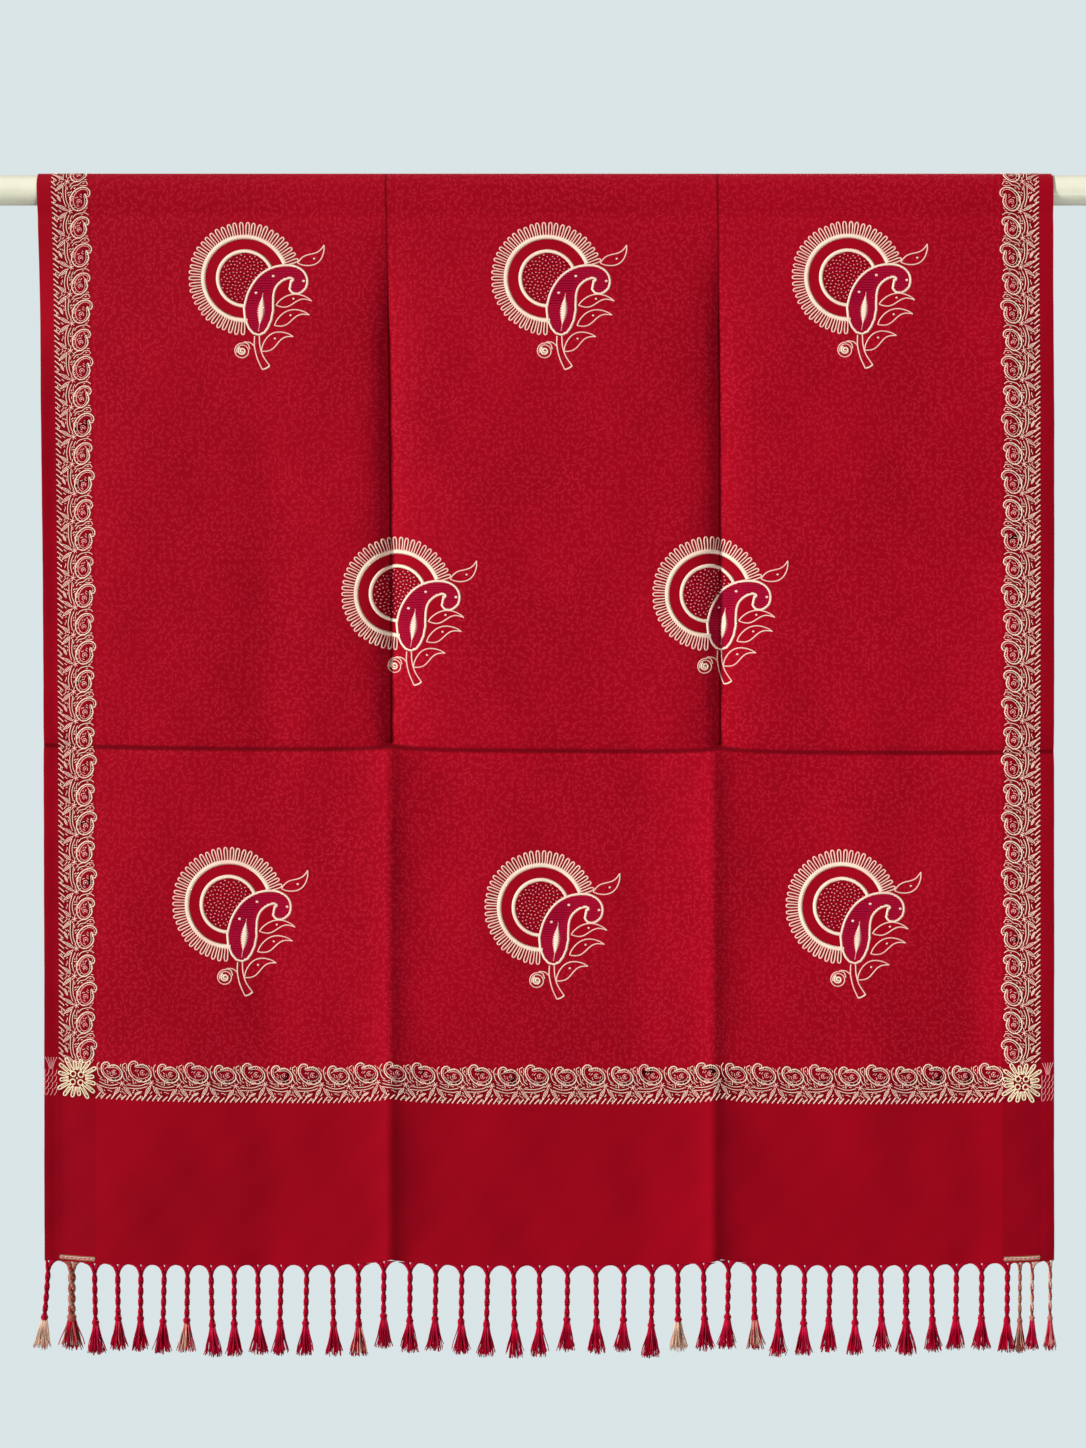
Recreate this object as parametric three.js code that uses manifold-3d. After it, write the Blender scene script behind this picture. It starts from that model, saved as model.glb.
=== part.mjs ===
// A wool shawl hung over a round rod: one woven cloth, with a fringe of knotted tassels at each end.
// Sizes are in millimetres. +X runs along the rod, -Y is the side seen from the front, and +Z is up.
// The origin is on the rod's axis, half way along it.
import * as THREE from "three";
import { mergeVertices } from "three/addons/utils/BufferGeometryUtils.js";
import Module from "manifold-3d";

const wasm = await Module();
wasm.setup();

// Driving dimensions
const rod = { radius: 15, length: 1200, sides: 48 };
const cloth = { width: 1020, length: 2050, wall: 1.2 };
const frontDrop = 1078; // from the rod's axis down to the front hem
const restGap = 0.5; // between the rod and the cloth that lies on it, at the corners of the turn's facets
const seamGap = 0.3; // between neighbouring solids
const turnFacets = 10; // flats of the half turn over the rod

// Sizes that follow from them
const innerRadius = rod.radius + restGap;
const midRadius = innerRadius + cloth.wall / 2;
const outerRadius = innerRadius + cloth.wall;
const turnLength = Math.PI * midRadius; // cloth taken up by the half turn over the rod
const backDrop = cloth.length - turnLength - frontDrop;
const halfWidth = cloth.width / 2;

// The two sides of the rod: the sign of Y on each, and how far the cloth hangs below the axis
const front = { sign: -1, drop: frontDrop };
const back = { sign: 1, drop: backDrop };

// Pressed creases that run the whole length: place across the cloth, depth, and reach of each flank
const longCreases = [
  { across: -153, depth: 13, leftReach: 13, rightReach: 24 },
  { across: 173, depth: 13, leftReach: 13, rightReach: 24 },
];
// Pressed crease across the whole width, a quarter of the cloth's length from each hem
const crossCrease = { fromHem: cloth.length / 4, depth: 3, reach: 7 };
const panelSwell = 8; // how far a panel between creases stands out from the rod's tangent
const edgeCurl = { depth: 10, reach: 42 }; // how the long edges turn back
const underRodDip = { drop: 28, depth: 1.6, reach: 9 }; // where the cloth clings in under the rod
const loosening = { from: 12, to: 190 }; // drop over which the cloth leaves the rod's straight line
// The creases use up some width below the rod: share, how far the cloth drifts right, and over what drop
const narrowing = { share: 0.0095, drift: 4.5, over: 250 };
// What the creases and the curled edges take from the length, at the hem: height and reach of each
const hemLift = { crease: 7, creaseReach: 26, edge: 5, edgeReach: 70 };

const foldGrowth = 200; // drop over which a soft fold reaches its height
// Soft folds that hang in the panels: place, half width, height (outwards is positive) and where they begin
const softFolds = [
  { side: front, across: -283, spread: 26, height: -2.4, from: 120 },
  { side: front, across: -60, spread: 44, height: 1.8, from: 260 },
  { side: front, across: 92, spread: 22, height: -1.6, from: 420 },
  { side: front, across: 322, spread: 38, height: 2.2, from: 200 },
  { side: front, across: 430, spread: 18, height: -1.8, from: 520 },
  { side: back, across: -330, spread: 34, height: 2.4, from: 150 },
  { side: back, across: -20, spread: 28, height: -2.0, from: 300 },
  { side: back, across: 290, spread: 30, height: -2.2, from: 180 },
  { side: back, across: 405, spread: 24, height: 1.7, from: 380 },
];

// Where the sections of a hanging stretch are taken
const stations = {
  afterLine: [8, 27, 52], // to the right of a crease or of the left edge
  beforeLine: [22, 8], // to the left of a crease or of the right edge
  panelStep: 27, // between those, about
  belowRod: [0, 10, 19, 28, 40, 70, 120, 190],
  roundCrease: 18, // above and below the crease across
  lowerShares: [0.3, 0.62, 1], // from there to the hem
};

// Fringe: a narrow strip along each hem, and tassels that hang from it
const fringe = {
  strip: 3, // height of the strip
  first: -506, // place of the first tassel
  lean: 1.6, // how far a tassel's foot strays sideways
  firstLean: -7,
  narrowRoot: 0.3, // share of a root's width where it gathers less cloth, at the selvedges
  crowdedShare: 0.6, // share of the width of the crowded ones
  unevenness: 0.025, // share by which a tassel's length varies
  lengthPhase: 2.3, // radians from one tassel to the next, for its length
  leanPhase: 1.7, // and for its lean
};
// How the tassels after the first are spaced along the hem, and which of them are tied closely together
const tasselRuns = [
  { count: 10, pitch: 23.5, crowded: false },
  { count: 10, pitch: 26.1, crowded: false },
  { count: 4, pitch: 28.5, crowded: false },
  { count: 14, pitch: 25.6, crowded: false },
  { count: 2, pitch: 12.5, crowded: true },
  { count: 1, pitch: 18.6, crowded: true },
];
const rootLevels = 3; // sections of a tassel's root, the first ones below
// Sections of one tassel, from its root in the strip down: drop, half width, half depth and turn in degrees
const tasselSections = [
  { drop: 1.4, halfWide: 12.2, halfDeep: 0.9, turn: 0 },
  { drop: 4.4, halfWide: 7.4, halfDeep: 1, turn: 0 },
  { drop: 7.5, halfWide: 4.0, halfDeep: 1.2, turn: 0 },
  { drop: 13, halfWide: 2.2, halfDeep: 1.9, turn: 0 },
  { drop: 27, halfWide: 2, halfDeep: 2, turn: 50 },
  { drop: 40, halfWide: 2, halfDeep: 2, turn: 100 },
  { drop: 53, halfWide: 2, halfDeep: 2, turn: 150 },
  { drop: 56, halfWide: 3.3, halfDeep: 3.1, turn: 180 },
  { drop: 61, halfWide: 3.3, halfDeep: 3.1, turn: 180 },
  { drop: 64, halfWide: 2.6, halfDeep: 2.4, turn: 180 },
  { drop: 77, halfWide: 5.4, halfDeep: 4, turn: 180 },
  { drop: 92, halfWide: 7.6, halfDeep: 4.6, turn: 180 },
];

const wool = new THREE.MeshStandardMaterial({ color: 0x9c0418, roughness: 0.85, metalness: 0 });
const yarn = new THREE.MeshStandardMaterial({ color: 0x8e0a1e, roughness: 0.8, metalness: 0 });
const paint = new THREE.MeshStandardMaterial({ color: 0xe9e6cd, roughness: 0.35, metalness: 0 });

const smoothstep = THREE.MathUtils.smoothstep;

// A cusp that is 1 at a crease and falls away on both sides of it.
function cusp(distance, reach) {
  return Math.exp(-Math.abs(distance) / reach);
}

// How far the cloth stands out from the rod's tangent, at a place across it and a drop below the axis.
function standOut(side, across, drop) {
  const loose = smoothstep(drop, loosening.from, loosening.to);
  let swell = panelSwell - edgeCurl.depth * cusp(halfWidth - Math.abs(across), edgeCurl.reach);
  for (const crease of longCreases) {
    const distance = across - crease.across;
    swell -= crease.depth * cusp(distance, distance < 0 ? crease.leftReach : crease.rightReach);
  }
  for (const fold of softFolds.filter((one) => one.side === side)) {
    const shape = Math.exp(-(((across - fold.across) / fold.spread) ** 2));
    swell += fold.height * shape * smoothstep(drop, fold.from, fold.from + foldGrowth);
  }
  const cross = crossCrease.depth * cusp(side.drop - drop - crossCrease.fromHem, crossCrease.reach);
  const dip = underRodDip.depth * Math.exp(-(((drop - underRodDip.drop) / underRodDip.reach) ** 2));
  return loose * swell - cross - dip;
}

// A point of the cloth's middle surface on one side of the rod.
function hangingPoint(side, across, drop) {
  const narrowed = 1 - Math.exp(-drop / narrowing.over);
  let lift = hemLift.edge * cusp(halfWidth - Math.abs(across), hemLift.edgeReach);
  for (const crease of longCreases) {
    lift += hemLift.crease * cusp(across - crease.across, hemLift.creaseReach);
  }
  return new THREE.Vector3(
    across * (1 - narrowing.share * narrowed) + narrowing.drift * narrowed,
    side.sign * (midRadius + standOut(side, across, drop)),
    -drop * (1 - lift / side.drop),
  );
}

// The outward unit normal there, from two short steps along the cloth.
function hangingNormal(side, across, drop) {
  const step = 0.5;
  const alongWidth = hangingPoint(side, across + step, drop).sub(hangingPoint(side, across - step, drop));
  const down = hangingPoint(side, across, drop + step).sub(hangingPoint(side, across, drop - step));
  return alongWidth.cross(down).multiplyScalar(side.sign).normalize();
}

// Places across the cloth where its sections are taken: close at the creases and edges, wider between them.
function acrossStations() {
  const lines = [-halfWidth, ...longCreases.map((crease) => crease.across), halfWidth];
  const places = [];
  for (let i = 0; i + 1 < lines.length; i++) {
    const from = lines[i] + stations.afterLine.at(-1);
    const to = lines[i + 1] - stations.beforeLine[0];
    const steps = Math.round((to - from) / stations.panelStep);
    places.push(lines[i], ...stations.afterLine.map((reach) => lines[i] + reach));
    for (let step = 1; step < steps; step++) places.push(from + ((to - from) * step) / steps);
    places.push(...stations.beforeLine.map((reach) => lines[i + 1] - reach));
  }
  places.push(halfWidth);
  return places;
}

// Drops where its sections are taken, from the rod's axis to the hem.
function dropStations(side) {
  const crease = side.drop - crossCrease.fromHem;
  const upper = (stations.belowRod.at(-1) + crease) / 2;
  const lower = crease + stations.roundCrease;
  const belowCrease = stations.lowerShares.map((share) => lower + (side.drop - lower) * share);
  const nearCrease = [-1, -1 / 3, 0, 1 / 3].map((share) => crease + share * stations.roundCrease);
  return [...stations.belowRod, upper, ...nearCrease, lower, ...belowCrease];
}

// A closed geometry from points and triangles.
function closedGeometry(points, triangles) {
  const geometry = new THREE.BufferGeometry().setFromPoints(points);
  geometry.setIndex(triangles);
  return geometry;
}

// A cloth wall between two drops: an outer and an inner grid of points, joined round their rims.
function hangingWall(side, acrossPlaces, drops) {
  const columns = acrossPlaces.length;
  const layer = drops.length * columns;
  const points = [];
  for (const offset of [cloth.wall / 2, -cloth.wall / 2]) {
    for (const drop of drops) {
      for (const across of acrossPlaces) {
        const normal = hangingNormal(side, across, drop);
        points.push(hangingPoint(side, across, drop).addScaledVector(normal, offset));
      }
    }
  }
  const triangles = [];
  const quad = (a, b, c, d) => {
    if (side === front) triangles.push(a, c, b, a, d, c);
    else triangles.push(a, b, c, a, c, d);
  };
  for (let row = 0; row + 1 < drops.length; row++) {
    for (let column = 0; column + 1 < columns; column++) {
      const corner = row * columns + column;
      const [right, below, across] = [corner + 1, corner + columns, corner + columns + 1];
      quad(corner, right, across, below);
      quad(layer + corner, layer + below, layer + across, layer + right);
    }
  }
  for (let column = 0; column + 1 < columns; column++) {
    const foot = (drops.length - 1) * columns + column;
    quad(column, layer + column, layer + column + 1, column + 1);
    quad(foot, foot + 1, layer + foot + 1, layer + foot);
  }
  for (let row = 0; row + 1 < drops.length; row++) {
    const left = row * columns;
    const right = left + columns - 1;
    quad(left, left + columns, layer + left + columns, layer + left);
    quad(right, layer + right, layer + right + columns, right + columns);
  }
  return closedGeometry(points, triangles);
}

// The half turn of cloth over the rod: a half ring, drawn in the YZ plane and swept along X.
function rodTurn() {
  const start = Math.asin(seamGap / outerRadius);
  const outline = new THREE.Shape()
    .absarc(0, 0, outerRadius, start, Math.PI - start, false)
    .absarc(0, 0, innerRadius, Math.PI - start, start, true);
  const geometry = new THREE.ExtrudeGeometry(outline, {
    depth: cloth.width,
    curveSegments: turnFacets / 2, // an arc gets twice as many
    bevelEnabled: false,
  });
  // the outline's own X becomes Y, its Y becomes Z, and the sweep runs along X
  const turned = new THREE.Matrix4().makeBasis(
    new THREE.Vector3(0, 1, 0),
    new THREE.Vector3(0, 0, 1),
    new THREE.Vector3(1, 0, 0),
  );
  return geometry.applyMatrix4(turned).translate(-halfWidth, 0, 0);
}

// Where the tassels hang along a hem, and whether each is crowded.
function tasselPlaces() {
  const places = [{ across: fringe.first, crowded: false }];
  for (const run of tasselRuns) {
    for (let i = 0; i < run.count; i++) {
      places.push({ across: places.at(-1).across + run.pitch, crowded: run.crowded });
    }
  }
  return places;
}

// One tassel: four-sided sections from its flat root down the twisted cord and over the knot to its foot.
function tassel(side, { across, crowded }, index) {
  const root = hangingPoint(side, across, side.drop);
  const stretch = 1 + fringe.unevenness * Math.sin(index * fringe.lengthPhase);
  const freeLean = crowded ? 0 : fringe.lean * Math.sin(index * fringe.leanPhase);
  const lean = index === 0 ? fringe.firstLean : freeLean;
  const points = [];
  tasselSections.forEach((section, level) => {
    const turn = THREE.MathUtils.degToRad(section.turn);
    const inRoot = level < rootLevels;
    const drop = inRoot ? section.drop : section.drop * stretch;
    const slant = lean * (drop / tasselSections.at(-1).drop);
    let widthShare = crowded ? fringe.crowdedShare : 1;
    if (inRoot && (crowded || index === 0)) widthShare = fringe.narrowRoot;
    for (const [x, y] of [[1, 1], [-1, 1], [-1, -1], [1, -1]]) {
      const wide = x * section.halfWide * widthShare;
      const deep = y * section.halfDeep;
      points.push(
        new THREE.Vector3(
          root.x + slant + wide * Math.cos(turn) - deep * Math.sin(turn),
          root.y + wide * Math.sin(turn) + deep * Math.cos(turn),
          root.z - seamGap - drop,
        ),
      );
    }
  });
  const triangles = [];
  const top = tasselSections.length - 1;
  for (let level = 0; level < top; level++) {
    for (let corner = 0; corner < 4; corner++) {
      const a = level * 4 + corner;
      const b = level * 4 + ((corner + 1) % 4);
      triangles.push(a, a + 4, b, b, a + 4, b + 4);
    }
  }
  const foot = top * 4;
  triangles.push(0, 1, 2, 0, 2, 3, foot, foot + 2, foot + 1, foot, foot + 3, foot + 2);
  return closedGeometry(points, triangles);
}

// A closed geometry as a solid that can be joined to others.
function solidOf(geometry) {
  const bare = geometry.clone();
  bare.deleteAttribute("normal");
  bare.deleteAttribute("uv");
  const merged = mergeVertices(bare);
  return new wasm.Manifold(
    new wasm.Mesh({
      numProp: 3,
      vertProperties: merged.attributes.position.array,
      triVerts: new Uint32Array(merged.index.array),
    }),
  );
}

function geometryOf(solid) {
  const mesh = solid.getMesh();
  return new THREE.BufferGeometry()
    .setAttribute("position", new THREE.BufferAttribute(mesh.vertProperties, 3))
    .setIndex(new THREE.BufferAttribute(mesh.triVerts, 1));
}

// The fringe of one hem: the strip with all its tassels joined to it.
function fringeRow(side) {
  const strip = hangingWall(side, acrossStations(), [
    side.drop + seamGap,
    side.drop + seamGap + fringe.strip,
  ]);
  let row = solidOf(strip);
  tasselPlaces().forEach((place, index) => {
    row = row.add(solidOf(tassel(side, place, index)));
  });
  return geometryOf(row);
}

function rodPole() {
  return new THREE.CylinderGeometry(rod.radius, rod.radius, rod.length, rod.sides).rotateZ(Math.PI / 2);
}

const shawl = new THREE.Group();

function addPiece(name, geometry, material) {
  const mesh = new THREE.Mesh(geometry, material);
  mesh.name = name;
  shawl.add(mesh);
}

addPiece("rod", rodPole(), paint);
addPiece("rod_turn", rodTurn(), wool);
addPiece("front_drop", hangingWall(front, acrossStations(), dropStations(front)), wool);
addPiece("back_drop", hangingWall(back, acrossStations(), dropStations(back)), wool);
addPiece("front_fringe", fringeRow(front), yarn);
addPiece("back_fringe", fringeRow(back), yarn);

export default shawl;
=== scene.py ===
"""A wool shawl hung over a round rod, dressed: cloth, brocade, knotted fringe and painted pole.

Lengths in the classes are millimetres, as a weaver would note them, and meshes are made in metres. The front
faces -Y, +X runs along the rod and +Z is up. A place on the cloth is given flat: across it from its middle
line, and along it from the front hem up, over the rod, and down to the back hem.
"""
import logging
import math
from dataclasses import dataclass, field
from enum import Enum
from typing import Callable, Iterable, Optional, Sequence

import bpy
import numpy as np
from bpy.types import ID, Material, Mesh, Node, NodeSocket, NodeTree, Object
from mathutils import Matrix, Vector


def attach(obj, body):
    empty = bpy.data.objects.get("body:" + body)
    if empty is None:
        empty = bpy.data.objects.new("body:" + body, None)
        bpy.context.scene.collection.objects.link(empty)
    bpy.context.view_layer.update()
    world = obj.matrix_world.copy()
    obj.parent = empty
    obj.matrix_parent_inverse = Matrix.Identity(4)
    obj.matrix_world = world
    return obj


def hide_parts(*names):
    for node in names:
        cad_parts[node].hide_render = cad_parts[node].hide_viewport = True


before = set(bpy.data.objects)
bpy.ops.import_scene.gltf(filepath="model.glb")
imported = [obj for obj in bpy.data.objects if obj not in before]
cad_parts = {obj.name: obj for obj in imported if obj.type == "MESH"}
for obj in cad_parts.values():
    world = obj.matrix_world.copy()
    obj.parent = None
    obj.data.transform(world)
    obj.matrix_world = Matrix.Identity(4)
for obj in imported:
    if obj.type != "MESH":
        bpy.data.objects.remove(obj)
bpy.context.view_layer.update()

MM = 0.001
LOG = logging.getLogger("shawl")
VECTOR = "FLOAT_VECTOR"
Array = np.ndarray
Point = tuple[float, float]
Triple = tuple[float, float, float]
Colour = tuple[float, float, float, float]


class Side(Enum):
    """The two sides of the rod; the value is the sign of Y there."""

    FRONT = -1
    BACK = 1


class Yarn(Enum):
    """The colours of brocade thread; the value is written on each stroke as its tint."""

    CREAM = 0.0
    BLUSH = 0.3
    ROSE = 0.8
    GOLD = -0.6
    MAGENTA = 2.0
    OLIVE = 3.0
    SHADE = 4.0


def smoothstep(value: Array, low: float, high: float) -> Array:
    """Returns 0 below low, 1 above high, and a smooth rise between them."""
    share = np.clip((value - low) / (high - low), 0.0, 1.0)
    return share * share * (3.0 - 2.0 * share)


def cusp(distance: Array, reach: float) -> Array:
    """Returns 1 at distance 0, falling away on both sides as a pressed crease does."""
    return np.exp(-np.abs(distance) / reach)


def graded(lines: Sequence[float], fine: float, coarse: float, growth: float) -> Array:
    """Places along a length, close together at some lines and wider between them.

    Args:
        lines: places that get a row exactly, in rising order.
        fine: spacing at a line.
        coarse: widest spacing.
        growth: how much the spacing grows per millimetre from a line.

    Returns:
        All the places in rising order.
    """
    places = []
    for low, high in zip(lines[:-1], lines[1:]):
        probe = np.linspace(low, high, 1500)
        spacing = np.minimum(coarse, fine + growth * np.minimum(probe - low, high - probe))
        counted = np.concatenate([[0.0], np.cumsum(np.diff(probe) / spacing[1:])])
        steps = math.ceil(counted[-1])
        places.extend(np.interp(np.linspace(0.0, counted[-1], steps + 1), counted, probe)[:-1])
    return np.array(places + [lines[-1]])


@dataclass(frozen=True)
class Crease:
    """A pressed crease down the cloth: a hollow, and a ridge where it turns over near the front hem."""

    across: float
    depth: float
    left_reach: float
    right_reach: float
    ridge_shift: float = 0.0
    ridge: float = 8.0
    ridge_left: float = 22.0
    ridge_right: float = 12.0


@dataclass(frozen=True)
class SoftFold:
    """A soft fold in a hanging panel; a positive height stands outwards."""

    side: Side
    across: float
    spread: float
    height: float
    start: float


@dataclass(frozen=True)
class ShawlForm:
    """The hung cloth's sizes, and the surface that they give."""

    width: float = 1020.0
    length: float = 2050.0
    wall: float = 1.2
    front_drop: float = 1078.0
    inner_radius: float = 15.5
    hem_reach: float = 2.0
    creases: tuple[Crease, ...] = (Crease(-160, 13.5, 10, 21), Crease(173, 12.5, 10.5, 22, -7))
    cross_depth: float = 3.0
    cross_reach: float = 7.0
    cross_tilt: float = 0.006
    turnover: float = 6.0
    ridge_round: float = 2.0
    panel_swell: float = 8.0
    edge_curl: float = 10.0
    edge_reach: float = 42.0
    dip_drop: float = 28.0
    dip_depth: float = 1.6
    dip_reach: float = 9.0
    loose_from: float = 12.0
    loose_to: float = 190.0
    narrowing: float = 0.0095
    drift: float = 4.5
    narrowing_over: float = 250.0
    crease_lift: float = 7.0
    crease_lift_reach: float = 26.0
    edge_lift: float = 5.0
    edge_lift_reach: float = 70.0
    fold_growth: float = 200.0
    folds: tuple[SoftFold, ...] = (
        SoftFold(Side.FRONT, -514, 14, 7.5, 60),
        SoftFold(Side.FRONT, -440, 90, 3.5, 30),
        SoftFold(Side.FRONT, -283, 26, -2.4, 120),
        SoftFold(Side.FRONT, -60, 44, 1.8, 260),
        SoftFold(Side.FRONT, 92, 22, -1.6, 420),
        SoftFold(Side.FRONT, 322, 38, 2.2, 200),
        SoftFold(Side.FRONT, 430, 18, -1.8, 520),
        SoftFold(Side.FRONT, 510, 60, 7, 40),
        SoftFold(Side.BACK, -330, 34, 2.4, 150),
        SoftFold(Side.BACK, -20, 28, -2, 300),
        SoftFold(Side.BACK, 290, 30, -2.2, 180),
        SoftFold(Side.BACK, 405, 24, 1.7, 380),
    )

    @property
    def mid_radius(self) -> float:
        """Radius of the cloth's middle surface where it turns over the rod."""
        return self.inner_radius + self.wall / 2.0

    @property
    def turn_end(self) -> float:
        """Place along the cloth where it leaves the rod at the back."""
        return self.front_drop + math.pi * self.mid_radius

    @property
    def back_drop(self) -> float:
        """How far the cloth hangs behind the rod, below its axis."""
        return self.length - self.turn_end

    def side_drop(self, side: Side) -> float:
        """Returns how far the cloth hangs on one side, below the rod's axis."""
        return self.front_drop if side is Side.FRONT else self.back_drop

    def stand_out(self, side: Side, across: Array, drop: Array) -> Array:
        """How far the cloth stands out from the rod's tangent.

        Args:
            side: the side of the rod.
            across: places across the cloth.
            drop: drops below the rod.

        Returns:
            Distances, positive outwards.
        """
        from_edge = self.width / 2.0 - np.abs(across)
        swell = self.panel_swell - self.edge_curl * cusp(from_edge, self.edge_reach)
        to_cross = self.side_drop(side) - drop - self.length / 4.0 + self.cross_tilt * across
        turned = smoothstep(-to_cross, -self.turnover, self.turnover) if side is Side.FRONT else 0.0
        for crease in self.creases:
            away = across - crease.across
            hollow = crease.depth * cusp(away, np.where(away < 0.0, crease.left_reach, crease.right_reach))
            beside = away - crease.ridge_shift
            ridge = crease.ridge * cusp(np.hypot(beside, self.ridge_round),
                                        np.where(beside < 0.0, crease.ridge_left, crease.ridge_right))
            swell = swell - hollow * (1.0 - turned) + ridge * turned
        for fold in self.folds:
            if fold.side is side:
                grown = smoothstep(drop, fold.start, fold.start + self.fold_growth)
                swell = swell + fold.height * np.exp(-(((across - fold.across) / fold.spread) ** 2)) * grown
        cross = self.cross_depth * cusp(to_cross, self.cross_reach)
        dip = self.dip_depth * np.exp(-(((drop - self.dip_drop) / self.dip_reach) ** 2))
        loose = smoothstep(drop, self.loose_from, self.loose_to)
        return loose * (swell + self.ripple(side, across, drop)) - cross - dip

    def ripple(self, side: Side, across: Array, drop: Array) -> Array:
        """Small uneven waves of the hanging cloth, too small for the solid.

        Args:
            side: the side of the rod.
            across: places across the cloth.
            drop: drops below the rod.

        Returns:
            Heights of the waves.
        """
        shift = 1.7 * side.value
        waves = 0.0
        for height, long_wave, slant, phase in (
            (0.42, 118.0, 0.35, 0.4),
            (0.30, 71.0, -0.55, 1.9),
            (0.22, 47.0, 0.9, 3.1),
            (0.16, 33.0, -1.4, 4.4),
        ):
            bend = 12.0 * np.sin(drop / 173.0 + phase)
            turns = (across + slant * drop + bend) / long_wave
            waves = waves + height * np.sin(turns * math.tau + phase + shift)
        return waves

    def hanging(self, side: Side, across: Array, drop: Array) -> Array:
        """Points of the middle surface on one side of the rod.

        Args:
            side: the side of the rod.
            across: places across the cloth.
            drop: drops below the rod.

        Returns:
            Points, with x, y and z last.
        """
        narrowed = 1.0 - np.exp(-drop / self.narrowing_over)
        lift = self.edge_lift * cusp(self.width / 2.0 - np.abs(across), self.edge_lift_reach)
        for crease in self.creases:
            lift = lift + self.crease_lift * cusp(across - crease.across, self.crease_lift_reach)
        x = across * (1.0 - self.narrowing * narrowed) + self.drift * narrowed
        y = side.value * (self.mid_radius + self.stand_out(side, across, drop))
        z = -drop * (1.0 - lift / self.side_drop(side))
        return np.stack([x, y, z], axis=-1)

    def surface(self, across: Array, along: Array) -> Array:
        """Points of the middle surface for flat places on the cloth.

        Args:
            across: places across it.
            along: places along it, from the front hem.

        Returns:
            Points in millimetres, with x, y and z last.
        """
        across, along = np.broadcast_arrays(np.asarray(across, float), np.asarray(along, float))
        front = self.hanging(Side.FRONT, across, np.maximum(self.front_drop - along, 0.0))
        back = self.hanging(Side.BACK, across, np.maximum(along - self.turn_end, 0.0))
        angle = np.clip((along - self.front_drop) / self.mid_radius, 0.0, math.pi)
        turn = np.stack([across, -self.mid_radius * np.cos(angle), self.mid_radius * np.sin(angle)], axis=-1)
        over = np.where((along > self.turn_end)[..., None], back, turn)
        return np.where((along < self.front_drop)[..., None], front, over)

    def outward(self, across: Array, along: Array) -> Array:
        """Returns the unit normals on the cloth's face at flat places."""
        step = 0.5
        aside = self.surface(across + step, along) - self.surface(across - step, along)
        up = self.surface(across, along + step) - self.surface(across, along - step)
        normal = np.cross(aside, up)
        return normal / np.linalg.norm(normal, axis=-1, keepdims=True)


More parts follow.
